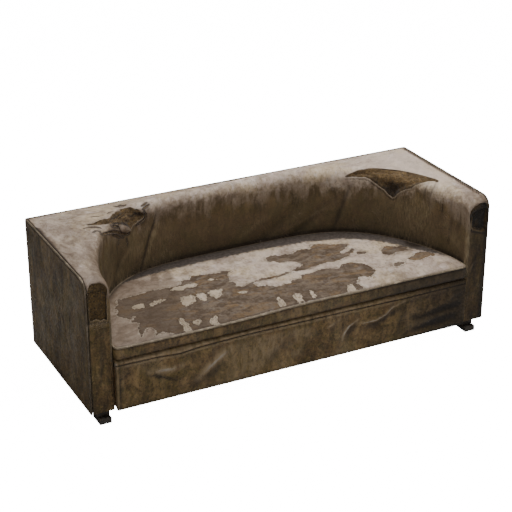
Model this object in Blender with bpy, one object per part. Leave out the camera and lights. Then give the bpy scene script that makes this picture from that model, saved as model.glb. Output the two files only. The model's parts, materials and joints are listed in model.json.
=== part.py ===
"""Worn leather sofa: a boxed three-seater with a horseshoe-shaped inside wall.

Metres, +Z up. The meshes are drawn in the sofa's own axes: X runs along the sofa, Y runs back
from the front face of the arms, and Z rises from the underside of the upholstered box. The empty
sofa_frame then carries them all, so that the origin is the bottom centre of the whole object.
"""

import math

import bmesh
import bpy
from mathutils import Vector

# Driving dimensions
WIDTH = 2.2  # over the side piping
BOX_DEPTH = 0.8155  # arm front to back piping
BOX_HEIGHT = 0.6874  # upholstered box, without the feet
FOOT_HEIGHT = 0.067
RAIL_PROUD = 0.0205  # the front panel stands this far in front of the arms

# Inside wall, seen from above: straight beside the arm fronts, then one long curve
WALL_HALF_WIDTH = 0.977
WALL_DEPTH = 0.7365
WALL_STRAIGHT = 0.06
WALL_POWER_X = 4.2
WALL_POWER_Y = 1.4
ROLL_RADIUS = 0.05  # inside wall to flat top
FRONT_RADIUS = 0.06  # flat top to arm front
ARM_EDGE_RADIUS = 0.012  # inside wall to arm front

# Layers
GAP = 0.0003  # between pieces that touch
LEATHER = 0.0025
PIPING_RADIUS = 0.005
COVER_DROP = 0.001  # the panels lie this far inside the piping's outer line
PADDING_BACK = 0.0428  # depth of the inside wall's leather and padding
SHELL = 0.006
LINER = 0.003
LINER_LOW = 0.004  # liners and padding stop this far above the box's underside
LINER_CHAMFER = 0.045
TOP_PADDING = 0.025
ARM_FRONT_PADDING = 0.012

# Frame timbers
RAIL = 0.022
POST = 0.066
FRONT_POST_DEPTH = 0.045
POST_CHAMFER = 0.03  # clears the rounded arm front
BOARD = 0.015
BOARD_FRONT = 0.03  # the top boards start behind the rounded arm front
BASE_RAIL_HEIGHT = 0.078
SEAT_RAIL_LOW = 0.15
TOP_RAIL_HEIGHT = 0.064
BASE = 0.0018  # underside of the frame, above the dust cover
FRONT_BOARD = 0.0297
FRONT_SEAT_RAIL_Y = 0.0313
FRONT_SEAT_RAIL_DEPTH = 0.025
CROSS_RAIL_X = 0.37
CROSS_RAIL = 0.03
CROSS_RAIL_LOW = 0.08
CROSS_RAIL_HIGH = 0.16
STUD_X = 0.36
STUD_WIDTH = 0.06
BOARD_SPLIT_X = 0.45

# Seat
STRAP_COUNT = 7
STRAP_PITCH = 0.26
STRAP_WIDTH = 0.07
STRAP = 0.0028
STRAP_Z = 0.215
WALL_LOW = 0.2545  # foot of the padded inside wall
DECK_TOP = 0.2617
DECK_FRONT = 0.0503
CUSHION_FRONT = -0.02
CUSHION_TOP = 0.3305
CUSHION_CROWN = 0.01
CUSHION_CLEAR = 0.003  # between the cushion and the inside wall
CUSHION_CORNER = 0.025
SEAT_PIPING_RADIUS = 0.004

# Front panel
PANEL_HALF_WIDTH = 0.972
PANEL_RADIUS = 0.03

# Feet
FOOT_X = 0.996
FOOT_WIDTH = 0.062
FOOT_TOE = 0.03
FOOT_LENGTH = 0.095
FOOT_NECK_SETBACK = 0.029
FOOT_NECK_LENGTH = 0.056
BOLT_RADIUS = 0.004
BOLT_HEAD_RADIUS = 0.009
BOLT_HEAD = 0.006
BOLT_HEAD_SUNK = 0.004  # above the sole
BOLT_REACH = 0.046  # into the post
BOLT_X = 1.0412
BOLT_Y = 0.043

# Worked out from the above
HALF = WIDTH / 2
COVER_TOP = BOX_HEIGHT - COVER_DROP
COVER_EDGE = 2 * PIPING_RADIUS + GAP  # where panels stop beside the piping
SIDE_COVER = HALF - COVER_DROP - 0.0005
BACK_COVER = BOX_DEPTH - COVER_DROP - 0.0005
SIDE_LINER = SIDE_COVER - LEATHER - GAP
BACK_LINER = BACK_COVER - LEATHER - GAP
FRAME_X = SIDE_LINER - LINER - GAP
FRAME_Y = BACK_LINER - LINER - GAP
PADDING = LEATHER + GAP  # depth of the padding's face
SHELL_FRONT = PADDING_BACK + GAP
SHELL_BACK = SHELL_FRONT + SHELL
BOARD_TOP = COVER_TOP - PADDING - TOP_PADDING - GAP
BOARD_LOW = BOARD_TOP - BOARD
FRAME_FRONT = PADDING + ARM_FRONT_PADDING + GAP
POST_IN = WALL_HALF_WIDTH + SHELL_BACK + GAP
ARM_ROWS = (PADDING, 0.0055, 0.009, 0.012, PADDING + ARM_FRONT_PADDING)  # behind the arm's face
BACK_RAIL_Y = FRAME_Y - RAIL
SIDE_RAIL_X = FRAME_X - RAIL

LEATHER_PALE = ("worn_leather_pale", (0.36, 0.30, 0.25), 0.62, 0.0)
LEATHER_DARK = ("worn_leather_dark", (0.13, 0.10, 0.068), 0.6, 0.0)
LEATHER_SEAT = ("worn_leather_seat", (0.28, 0.22, 0.17), 0.65, 0.0)
PIPING = ("leather_piping", (0.24, 0.18, 0.13), 0.6, 0.0)
HAIR_PADDING = ("hair_padding", (0.17, 0.12, 0.065), 0.95, 0.0)
HARDWOOD = ("hardwood", (0.42, 0.29, 0.17), 0.7, 0.0)
PLYWOOD = ("plywood", (0.52, 0.38, 0.23), 0.7, 0.0)
FIBREBOARD = ("fibreboard", (0.25, 0.19, 0.12), 0.9, 0.0)
JUTE = ("jute_webbing", (0.46, 0.36, 0.21), 0.95, 0.0)
CAMBRIC = ("black_cambric", (0.02, 0.02, 0.02), 0.95, 0.0)
DARK_WOOD = ("dark_stained_wood", (0.028, 0.021, 0.016), 0.5, 0.0)
STEEL = ("zinced_steel", (0.45, 0.45, 0.44), 0.4, 1.0)


def clear_scene():
    for item in list(bpy.data.objects):
        bpy.data.objects.remove(item, do_unlink=True)


def material(finish):
    """The Principled material of a finish, made the first time that it is asked for."""
    name, colour, roughness, metallic = finish
    found = bpy.data.materials.get(name)
    if found:
        return found
    made = bpy.data.materials.new(name)
    made.use_nodes = True
    shader = made.node_tree.nodes["Principled BSDF"]
    shader.inputs["Base Color"].default_value = (*colour, 1.0)
    shader.inputs["Roughness"].default_value = roughness
    shader.inputs["Metallic"].default_value = metallic
    made.diffuse_color = (*colour, 1.0)
    return made


def place(name, data, finish):
    data.materials.append(material(finish))
    piece = bpy.data.objects.new(name, data)
    bpy.context.scene.collection.objects.link(piece)
    piece.parent = bpy.data.objects["sofa_frame"]
    return piece


def solid(name, points, faces, finish):
    """One closed body from points and faces, with its faces turned outwards."""
    shape = bmesh.new()
    corners = [shape.verts.new(point) for point in points]
    for face in faces:
        shape.faces.new([corners[index] for index in face])
    bmesh.ops.recalc_face_normals(shape, faces=shape.faces[:])
    data = bpy.data.meshes.new(name)
    shape.to_mesh(data)
    shape.free()
    return place(name, data, finish)


def loft(name, loops, finish, folded=False):
    """Closed sections joined in order, with a face over each end.

    A folded section is a line of points and the same line back at another depth, which may bend
    in space, so each of its ends is closed by a strip of small faces.
    """
    count = len(loops[0])
    points = [point for loop in loops for point in loop]
    last = len(points) - count
    if folded:
        faces = []
        for start in (0, last):
            for index in range(count // 2 - 1):
                far = start + count - 1 - index
                faces.append([start + index, start + index + 1, far - 1, far])
    else:
        faces = [list(range(count)), list(range(last, len(points)))]
    for row in range(len(loops) - 1):
        for index in range(count):
            after = (index + 1) % count
            low, high = row * count, (row + 1) * count
            faces.append([low + index, low + after, high + after, high + index])
    return solid(name, points, faces, finish)


def box(name, low, high, finish):
    corners = [(low[0], low[1]), (high[0], low[1]), (high[0], high[1]), (low[0], high[1])]
    return prism(name, corners, "Z", low[2], high[2], finish)


def prism(name, outline, axis, low, high, finish):
    """An outline extruded along an axis. Outlines are (x, y) along Z, and (y, z) along X."""
    if axis == "Z":
        loops = [[(a, b, level) for a, b in outline] for level in (low, high)]
    else:
        loops = [[(level, a, b) for a, b in outline] for level in (low, high)]
    return loft(name, loops, finish)


def tube(name, points, radius, closed, finish):
    """A round cord along points, as a bevelled curve."""
    data = bpy.data.curves.new(name, "CURVE")
    data.dimensions = "3D"
    data.bevel_depth = radius
    data.bevel_resolution = 2
    data.use_fill_caps = True
    line = data.splines.new("POLY")
    line.points.add(len(points) - 1)
    for target, point in zip(line.points, points):
        target.co = (*point, 1.0)
    line.use_cyclic_u = closed
    return place(name, data, finish)


def cut(piece, cutter):
    cutter.hide_render = True
    cutter.display_type = "WIRE"
    opening = piece.modifiers.new("cut_" + cutter.name, "BOOLEAN")
    opening.operation = "DIFFERENCE"
    opening.object = cutter


def arc(centre, radius, start, end, steps):
    """Points on a circle, with the angles in degrees."""
    angles = [math.radians(start + (end - start) * step / steps) for step in range(steps + 1)]
    return [(centre[0] + radius * math.cos(a), centre[1] + radius * math.sin(a)) for a in angles]


def wall_curve_point(turn):
    """A point of the inside wall's curve and its outward normal, for a turn from 0 to a quarter."""
    depth = WALL_DEPTH - WALL_STRAIGHT
    x = WALL_HALF_WIDTH * max(math.cos(turn), 0.0) ** (2 / WALL_POWER_X)
    y = depth * math.sin(turn) ** (2 / WALL_POWER_Y)
    slope_x = WALL_POWER_X * (x / WALL_HALF_WIDTH) ** (WALL_POWER_X - 1) / WALL_HALF_WIDTH
    slope_y = WALL_POWER_Y * (y / depth) ** (WALL_POWER_Y - 1) / depth
    normal = Vector((slope_x, slope_y)).normalized()
    return Vector((x, y + WALL_STRAIGHT)), normal


def wall_rows(steps=24):
    """Evenly spaced points and normals of the curve's right half, from the arm to the middle."""
    fine = [wall_curve_point(math.pi / 2 * index / 4000) for index in range(4001)]
    travelled = [0.0]
    for (before, _), (after, _) in zip(fine, fine[1:]):
        travelled.append(travelled[-1] + (after - before).length)
    rows, index = [], 0
    for step in range(steps + 1):
        while travelled[index] < travelled[-1] * step / steps and index < len(fine) - 1:
            index += 1
        rows.append(fine[index])
    rows[-1] = (Vector((0.0, WALL_DEPTH)), Vector((0.0, 1.0)))
    return rows


CURVE = wall_rows()


def front_rows(levels):
    """Rows on the straight stretch beside the arm front, at the given distances behind it."""
    return [(Vector((WALL_HALF_WIDTH, y)), Vector((1.0, 0.0))) for y in levels]


def both_sides(right):
    """Right-hand rows followed by their mirror image, from the right arm to the left one."""
    left = [(Vector((-p.x, p.y)), Vector((-n.x, n.y))) for p, n in right[:-1]]
    return right + left[::-1]


def wall_outline(offset, levels=()):
    """The inside wall's curve moved outwards, as (x, y) points from the right arm to the middle."""
    rows = front_rows(levels) + CURVE
    return [tuple(p + n * offset) for p, n in rows]


def mirrored(outline):
    return [(-x, y) for x, y in reversed(outline)]


def rounding(distance, radius, depth):
    """How far a rounded edge has fallen, at a distance from the face that it turns into."""
    if distance >= radius:
        return 0.0
    inner = radius - depth
    return inner - math.sqrt(max(inner**2 - (radius - distance) ** 2, 0.0))


def edge_point(point):
    """Where a row of the flat top ends, on the outer edge beside the piping."""
    edge_x, edge_y = HALF - COVER_EDGE, BOX_DEPTH - COVER_EDGE
    corner = next(p for p, n in CURVE if n.y > 0.62)
    side = 1.0 if point.x >= 0 else -1.0
    if point.y <= corner.y:
        share = max(point.y - WALL_STRAIGHT, 0.0) / (corner.y - WALL_STRAIGHT)
        return Vector((side * edge_x, point.y + share * (edge_y - corner.y)))
    return Vector((point.x * edge_x / corner.x, edge_y))


def wall_section(point, normal, depth, low):
    """The inside wall, its roll and the flat top, as points at a depth under the surface."""
    wall = depth + rounding(point.y, ARM_EDGE_RADIUS, depth)
    top = COVER_TOP - depth - rounding(point.y, FRONT_RADIUS, depth)
    radius = ROLL_RADIUS - depth
    section = [(point + normal * wall, low)]
    for out, up in arc((wall + radius, top - radius), radius, 180, 90, 6):
        section.append((point + normal * out, up))
    section.append((edge_point(point), top))
    return [(p.x, p.y, z) for p, z in section]


def inside_cover():
    """Leather over the inside wall, the roll and the flat top, with its two tears."""
    levels = (0.0, *ARM_ROWS, 0.018, 0.024, 0.028, 0.0305, 0.038, 0.046)
    rows = both_sides(front_rows(levels) + CURVE)
    loops = []
    for point, normal in rows:
        low = 0.0 if point.y <= 0.028 else WALL_LOW
        behind = Vector((point.x, max(point.y, LEATHER)))
        outer = wall_section(point, normal, 0.0, low)
        inner = wall_section(behind, normal, LEATHER, low)
        loops.append(outer + inner[::-1])
    cover = loft("inside_cover", loops, LEATHER_PALE, folded=True)
    # Each tear's outline lies on the leather, and the cut runs along its lean
    right_tear = [
        (0.648, 0.650, 0.668), (0.720, 0.610, 0.686), (0.793, 0.594, 0.686), (0.886, 0.523, 0.686),
        (0.942, 0.414, 0.686), (0.980, 0.312, 0.686), (0.910, 0.345, 0.671), (0.886, 0.374, 0.653),
        (0.866, 0.407, 0.614), (0.838, 0.457, 0.591), (0.819, 0.484, 0.548), (0.777, 0.540, 0.614),
        (0.722, 0.596, 0.648),
    ]
    left_tear = [
        (-0.850, 0.590, 0.686), (-0.770, 0.625, 0.686), (-0.700, 0.665, 0.686),
        (-0.610, 0.720, 0.686), (-0.550, 0.700, 0.686), (-0.530, 0.640, 0.686),
        (-0.590, 0.610, 0.670), (-0.640, 0.590, 0.650), (-0.690, 0.575, 0.670),
        (-0.740, 0.570, 0.686), (-0.800, 0.570, 0.686),
    ]
    cut(cover, tear_cutter("right_tear", right_tear, Vector((-0.45, -0.4, 0.8))))
    cut(cover, tear_cutter("left_tear", left_tear, Vector((0.15, -0.25, 0.95))))


def tear_cutter(name, outline, lean):
    """A prism through a ragged outline, along its lean."""
    lean = lean.normalized()
    corners = [Vector(point) for point in outline]
    centre = sum(corners, Vector()) / len(corners)
    flat = [corner - lean * (corner - centre).dot(lean) for corner in corners]
    reach = 0.09
    loops = [[corner + lean * side for corner in flat] for side in (-reach, reach)]
    return loft(name, loops, LEATHER_PALE)


def inside_padding():
    """Hair padding under the inside cover: thick on the wall, thinner on the flat top."""
    levels = (FRAME_FRONT, 0.018, 0.024, 0.028, 0.0305, 0.038, 0.046)
    loops = []
    for point, normal in both_sides(front_rows(levels) + CURVE):
        face = wall_section(point, normal, PADDING, WALL_LOW)
        low_top = COVER_TOP - PADDING - TOP_PADDING
        back = point + normal * PADDING_BACK
        edge = face[-1]
        loops.append(face + [(edge[0], edge[1], low_top), (*back, low_top), (*back, WALL_LOW)])
    loft("inside_padding", loops, HAIR_PADDING)


def arm_front_outline(behind, depth, outer, low):
    """The arm's front outline at a distance behind its face, as (x, z) for the right arm."""
    row = front_rows((behind,))[0]
    section = wall_section(*row, depth, low)[:-1]
    top = section[-1][2]
    return [(x, z) for x, _, z in section] + [(outer, top), (outer, low)]


def arm_front(side, name):
    """The leather on one arm's front, worn through near its top, and the padding behind it."""
    edge = HALF - COVER_EDGE
    outline = [(x + GAP, z) for x, z in arm_front_outline(0.0, 0.0, edge - GAP, 0.0)]
    outline = [(x, min(z, COVER_TOP - FRONT_RADIUS - GAP)) for x, z in outline]
    loops = [[(side * x, y, z) for x, z in outline] for y in (0.0, LEATHER)]
    cover = loft(name + "_arm_front_cover", loops, LEATHER_DARK)
    worn = [
        (1.000, 0.512), (1.030, 0.520), (1.055, 0.508), (1.078, 0.516), (1.080, 0.600),
        (1.070, 0.616), (1.035, 0.618), (1.010, 0.606), (1.001, 0.580),
    ]
    loops = [[(side * x, y, z) for x, z in worn] for y in (-0.01, LEATHER + GAP / 2)]
    cut(cover, loft(name + "_arm_wear", loops, LEATHER_DARK))

    loops = []
    for behind in ARM_ROWS:
        outline = arm_front_outline(behind, PADDING, edge, LINER_LOW)
        loops.append([(side * x, behind, z) for x, z in outline])
    loft(name + "_arm_front_padding", loops, HAIR_PADDING)


def outside_panels():
    """The leather on the two ends and the back, each over a thin stiff liner."""
    high = BOX_HEIGHT - COVER_EDGE
    bend = (FRONT_RADIUS, BOX_HEIGHT - FRONT_RADIUS)
    corner = arc(bend, FRONT_RADIUS - COVER_EDGE, 180, 90, 6)
    side_outline = [(COVER_EDGE, 0.0)] + corner + [(BACK_LINER, high), (BACK_LINER, 0.0)]
    liner_back = BACK_LINER - LINER - GAP
    liner_outline = [
        (FRAME_FRONT, LINER_LOW), (FRAME_FRONT, BOARD_LOW - LINER_CHAMFER),
        (FRAME_FRONT + LINER_CHAMFER, BOARD_LOW), (liner_back, BOARD_LOW), (liner_back, LINER_LOW),
    ]
    for side, name in ((-1, "left"), (1, "right")):
        outer, inner = side * SIDE_COVER, side * (SIDE_COVER - LEATHER)
        prism(name + "_side_cover", side_outline, "X", outer, inner, LEATHER_DARK)
        outer, inner = side * SIDE_LINER, side * (SIDE_LINER - LINER)
        prism(name + "_side_liner", liner_outline, "X", outer, inner, FIBREBOARD)
    wide = SIDE_COVER
    box("back_cover", (-wide, BACK_COVER - LEATHER, 0.0), (wide, BACK_COVER, high), LEATHER_DARK)
    low, top = (-SIDE_LINER, BACK_LINER - LINER, LINER_LOW), (SIDE_LINER, BACK_LINER, BOARD_LOW)
    box("back_liner", low, top, FIBREBOARD)


def outer_piping():
    """One welt: up an arm front, round the top's outer edge and down the other arm front."""
    inset = PIPING_RADIUS
    rise = arc((FRONT_RADIUS, BOX_HEIGHT - FRONT_RADIUS), FRONT_RADIUS - inset, 180, 90, 8)
    turn = 0.004
    x, y, z = HALF - inset, BOX_DEPTH - inset, BOX_HEIGHT - inset
    corner = arc((x - turn, y - turn), turn, 0, 90, 4)
    right = [(x, inset, 0.0)] + [(x, a, b) for a, b in rise] + [(a, b, z) for a, b in corner]
    left = [(-a, b, c) for a, b, c in reversed(right)]
    tube("outer_piping", right + left, PIPING_RADIUS, False, PIPING)


def front_panel():
    """The padded front panel: leather, padding and the board that they are fixed to."""
    wide = PANEL_HALF_WIDTH
    centre = (PANEL_RADIUS - RAIL_PROUD, DECK_TOP - PANEL_RADIUS)
    back = DECK_FRONT - GAP
    outer = [(-RAIL_PROUD, 0.0)] + arc(centre, PANEL_RADIUS, 180, 90, 8) + [(back, DECK_TOP)]
    thin = PANEL_RADIUS - LEATHER
    inner = [(LEATHER - RAIL_PROUD, 0.0)] + arc(centre, thin, 180, 90, 8) + [(back, DECK_TOP - LEATHER)]
    prism("front_panel_cover", outer + inner[::-1], "X", -wide, wide, LEATHER_DARK)
    soft = PANEL_RADIUS - PADDING
    face = [(PADDING - RAIL_PROUD, LINER_LOW)] + arc(centre, soft, 180, 90, 8)
    over_board = STRAP_Z + STRAP + GAP
    behind = [(back, DECK_TOP - PADDING), (back, over_board), (-GAP, over_board), (-GAP, LINER_LOW)]
    inset = wide - LINER_LOW
    prism("front_panel_padding", face + behind, "X", -inset, inset, HAIR_PADDING)
    box("front_panel_board", (-inset, 0.0, BASE), (inset, FRONT_BOARD, STRAP_Z - GAP), HARDWOOD)


def frame_posts():
    """Four corner posts, drilled from below for the foot bolts, and two studs in the back."""
    back = FRAME_Y - POST
    for side, name in ((-1, "left"), (1, "right")):
        for end, low, high in (
            ("front", FRAME_FRONT, FRAME_FRONT + FRONT_POST_DEPTH),
            ("back", back, FRAME_Y),
        ):
            inner, outer = sorted((side * POST_IN, side * FRAME_X))
            chamfer = POST_CHAMFER if end == "front" else GAP
            top = BOARD_LOW - GAP
            outline = [
                (low, BASE), (low, top - chamfer), (low + chamfer, top), (high, top), (high, BASE),
            ]
            post = prism(f"{end}_{name}_post", outline, "X", inner, outer, HARDWOOD)
            hole_top = BOLT_REACH + GAP
            hole = bolt_cylinder(f"{end}_{name}_post_hole", side, end, BASE - 0.01, hole_top)
            cut(post, hole)
        stud = side * STUD_X
        low = (stud - STUD_WIDTH / 2, BACK_RAIL_Y, STRAP_Z + STRAP + 2 * GAP)
        high = (stud + STUD_WIDTH / 2, FRAME_Y, BOARD_LOW - TOP_RAIL_HEIGHT - 2 * GAP)
        box(f"back_{name}_stud", low, high, HARDWOOD)


def frame_rails():
    """The rails between the posts: at the base, under the seat and under the flat top."""
    clear = POST_IN - GAP
    base_top = BASE + BASE_RAIL_HEIGHT
    seat_top = STRAP_Z - GAP
    top_low, top_high = BOARD_LOW - GAP - TOP_RAIL_HEIGHT, BOARD_LOW - GAP
    front_y = FRONT_SEAT_RAIL_Y
    back_y = front_y + FRONT_SEAT_RAIL_DEPTH
    box("front_seat_rail", (-clear, front_y, BASE), (clear, back_y, seat_top), HARDWOOD)
    box("back_base_rail", (-clear, BACK_RAIL_Y, BASE), (clear, FRAME_Y, base_top), HARDWOOD)
    box("back_seat_rail", (-clear, BACK_RAIL_Y, SEAT_RAIL_LOW), (clear, FRAME_Y, seat_top), HARDWOOD)
    box("back_top_rail", (-clear, BACK_RAIL_Y, top_low), (clear, FRAME_Y, top_high), HARDWOOD)
    near = FRAME_FRONT + FRONT_POST_DEPTH + GAP
    far = FRAME_Y - POST - GAP
    side_top = STRAP_Z + STRAP
    for side, name in ((-1, "left"), (1, "right")):
        inner, outer = sorted((side * SIDE_RAIL_X, side * FRAME_X))
        box(name + "_base_rail", (inner, near, BASE), (outer, far, base_top), HARDWOOD)
        box(name + "_seat_rail", (inner, near, SEAT_RAIL_LOW), (outer, far, side_top), HARDWOOD)
        box(name + "_top_rail", (inner, near, top_low), (outer, far, top_high), HARDWOOD)
        inner, outer = side * CROSS_RAIL_X - CROSS_RAIL / 2, side * CROSS_RAIL_X + CROSS_RAIL / 2
        low = (inner, back_y + GAP, CROSS_RAIL_LOW)
        high = (outer, BACK_RAIL_Y - GAP, CROSS_RAIL_HIGH)
        box(name + "_cross_rail", low, high, HARDWOOD)


def shaped_boards():
    """Boards cut to the inside wall's curve: ledgers under its padding, and boards under the top."""
    near = FRAME_FRONT + FRONT_POST_DEPTH + GAP
    low, high = STRAP_Z + STRAP + GAP, WALL_LOW - GAP
    inner = [(WALL_HALF_WIDTH, near)] + wall_outline(0.0)[1:-1] + [(GAP, WALL_DEPTH)]
    outer = [(POST_IN - GAP, near)] + wall_outline(SHELL_BACK)[1:-1]
    ledger = inner + [(GAP, WALL_DEPTH + SHELL_BACK)] + outer[::-1]
    prism("right_ledger", ledger, "Z", low, high, HARDWOOD)
    prism("left_ledger", mirrored(ledger), "Z", low, high, HARDWOOD)

    split = BOARD_SPLIT_X
    edge = wall_outline(SHELL_BACK + GAP, (BOARD_FRONT,))
    beyond = [point for point in edge if point[0] > split]
    end = split - GAP
    within = [point for point in edge if 0 < point[0] < end]
    cross = crossing(edge, split)
    corner = beyond + [(split, cross), (split, FRAME_Y), (FRAME_X, FRAME_Y), (FRAME_X, BOARD_FRONT)]
    prism("right_top_board", corner, "Z", BOARD_LOW, BOARD_TOP, PLYWOOD)
    prism("left_top_board", mirrored(corner), "Z", BOARD_LOW, BOARD_TOP, PLYWOOD)
    half = [(end, crossing(edge, end))] + within
    back = half + [edge[-1]] + mirrored(half) + [(-end, FRAME_Y), (end, FRAME_Y)]
    prism("back_top_board", back, "Z", BOARD_LOW, BOARD_TOP, PLYWOOD)


def crossing(outline, x):
    """The y at which an outline that runs inwards passes x."""
    for (x0, y0), (x1, y1) in zip(outline, outline[1:]):
        if x1 <= x <= x0:
            return y0 + (y1 - y0) * (x0 - x) / (x0 - x1)
    return outline[-1][1]


def inner_shell():
    """The thin bent panel behind the inside wall's padding."""
    loops = []
    for point, normal in both_sides(front_rows((FRAME_FRONT,)) + CURVE):
        front, back = point + normal * SHELL_FRONT, point + normal * SHELL_BACK
        corners = ((front, WALL_LOW), (front, BOARD_TOP), (back, BOARD_TOP), (back, WALL_LOW))
        loops.append([(*spot, level) for spot, level in corners])
    loft("inner_shell", loops, PLYWOOD)


def seat_support():
    """Webbing straps from front to back, the padded deck on them and the dust cover below."""
    for index in range(STRAP_COUNT):
        middle = STRAP_PITCH * (index - (STRAP_COUNT - 1) / 2)
        low = (middle - STRAP_WIDTH / 2, FRONT_SEAT_RAIL_Y, STRAP_Z)
        high = (middle + STRAP_WIDTH / 2, FRAME_Y, STRAP_Z + STRAP)
        box(f"webbing_strap_{index + 1}", low, high, JUTE)
    curve = [(x, y) for x, y in wall_outline(-2 * GAP) if x > 0]
    half = [(WALL_HALF_WIDTH - 2 * GAP, DECK_FRONT)] + curve
    deck = half + [(0.0, WALL_DEPTH - 2 * GAP)] + mirrored(half)
    prism("seat_deck", deck, "Z", STRAP_Z + STRAP + GAP, DECK_TOP, HAIR_PADDING)
    notch_x, notch_y = FOOT_X - 0.01, FOOT_LENGTH + 0.01
    right = [
        (notch_x, FRONT_SEAT_RAIL_Y), (notch_x, notch_y), (FRAME_X, notch_y), (FRAME_X, FRAME_Y - notch_y),
        (notch_x, FRAME_Y - notch_y), (notch_x, FRAME_Y),
    ]
    prism("dust_cover", right + mirrored(right), "Z", 0.0003, 0.0015, CAMBRIC)


def cushion_outline(inset):
    """The cushion's outline from above: the wall's curve behind, and rounded front corners."""
    side = WALL_HALF_WIDTH - CUSHION_CLEAR - inset
    radius = CUSHION_CORNER - inset
    centre = (side - radius, CUSHION_FRONT + inset + radius)
    front = arc(centre, radius, -90, 0, 4)
    curve = [(x, y) for x, y in wall_outline(-CUSHION_CLEAR - inset) if x > 0]
    middle = (0.0, WALL_DEPTH - CUSHION_CLEAR - inset)
    half = front + curve
    return half + [middle] + mirrored(half)


def seat_cushion():
    """A boxed cushion with a low crown, and the welt that lies in a rebate round its top edge."""
    ledge = 2 * SEAT_PIPING_RADIUS + 2 * GAP
    step = CUSHION_TOP - ledge - GAP
    low = DECK_TOP + GAP
    loops = []
    bevel = 0.005
    sides = ((bevel, low), (0.0, low + bevel), (0.0, step), (ledge, step), (ledge, CUSHION_TOP))
    for inset, level in sides:
        loops.append([(x, y, level) for x, y in cushion_outline(inset)])
    middle = (WALL_DEPTH + CUSHION_FRONT) / 2
    for scale, rise in ((0.93, 0.45), (0.8, 0.8), (0.55, 1.0)):
        level = CUSHION_TOP + CUSHION_CROWN * rise
        rim = cushion_outline(ledge)
        loops.append([(x * scale, middle + (y - middle) * scale, level) for x, y in rim])
    loft("seat_cushion", loops, LEATHER_SEAT)
    centre = SEAT_PIPING_RADIUS + GAP
    path = [(x, y, step + centre) for x, y in cushion_outline(centre)]
    tube("seat_piping", path, SEAT_PIPING_RADIUS, True, PIPING)


def bolt_ring(side, end, radius):
    """A circle round a foot bolt's axis, as (x, y) points."""
    y = BOLT_Y if end == "front" else mirrored_y(BOLT_Y)
    return arc((side * BOLT_X, y), radius, 0, 337.5, 15)


def bolt_cylinder(name, side, end, low, high):
    """The hole that a foot bolt passes through."""
    return prism(name, bolt_ring(side, end, BOLT_RADIUS + 2 * GAP), "Z", low, high, STEEL)


def mirrored_y(y):
    """The matching place at the back, for the rear feet."""
    return BOX_DEPTH - y


def foot_bolt(name, side, end):
    """A bolt with its head sunk in the foot's sole, turned into the post above."""
    head = bolt_ring(side, end, BOLT_HEAD_RADIUS)
    shank = bolt_ring(side, end, BOLT_RADIUS)
    head_low = BOLT_HEAD_SUNK - FOOT_HEIGHT
    head_high = head_low + BOLT_HEAD
    loops = [
        [(x, y, head_low) for x, y in head], [(x, y, head_high) for x, y in head],
        [(x, y, head_high) for x, y in shank], [(x, y, BOLT_REACH) for x, y in shank],
    ]
    loft(name, loops, STEEL)
    recess = bolt_ring(side, end, BOLT_HEAD_RADIUS + 0.001)
    return prism(name + "_recess", recess, "Z", -FOOT_HEIGHT - 0.005, head_high + GAP, STEEL)


def feet():
    """Four dark block feet: a low toe plate with a shorter neck on it."""
    toe_top = -FOOT_HEIGHT + FOOT_TOE
    neck_end = FOOT_NECK_SETBACK + FOOT_NECK_LENGTH
    outline = [
        (0.0, -FOOT_HEIGHT), (0.0, toe_top), (FOOT_NECK_SETBACK, toe_top), (FOOT_NECK_SETBACK, BASE - GAP),
        (neck_end, BASE - GAP), (neck_end, toe_top), (FOOT_LENGTH, toe_top), (FOOT_LENGTH, -FOOT_HEIGHT),
    ]
    for side, name in ((-1, "left"), (1, "right")):
        for end in ("front", "back"):
            low, high = sorted((side * FOOT_X, side * (FOOT_X + FOOT_WIDTH)))
            profile = outline if end == "front" else [(mirrored_y(y), z) for y, z in outline]
            foot = prism(f"{end}_{name}_foot", profile, "X", low, high, DARK_WOOD)
            cut(foot, foot_bolt(f"{end}_{name}_foot_bolt", side, end))
            hole = bolt_cylinder(f"{end}_{name}_foot_hole", side, end, -FOOT_HEIGHT, 0.01)
            cut(foot, hole)


def build():
    clear_scene()
    frame = bpy.data.objects.new("sofa_frame", None)
    frame.location = (0.0, -(BOX_DEPTH - RAIL_PROUD) / 2, FOOT_HEIGHT)
    bpy.context.scene.collection.objects.link(frame)
    inside_cover()
    inside_padding()
    arm_front(-1, "left")
    arm_front(1, "right")
    outside_panels()
    outer_piping()
    front_panel()
    seat_cushion()
    seat_support()
    inner_shell()
    shaped_boards()
    frame_posts()
    frame_rails()
    feet()


build()
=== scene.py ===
import json
import math

import bmesh
import bpy
import numpy as np
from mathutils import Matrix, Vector, geometry


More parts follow.
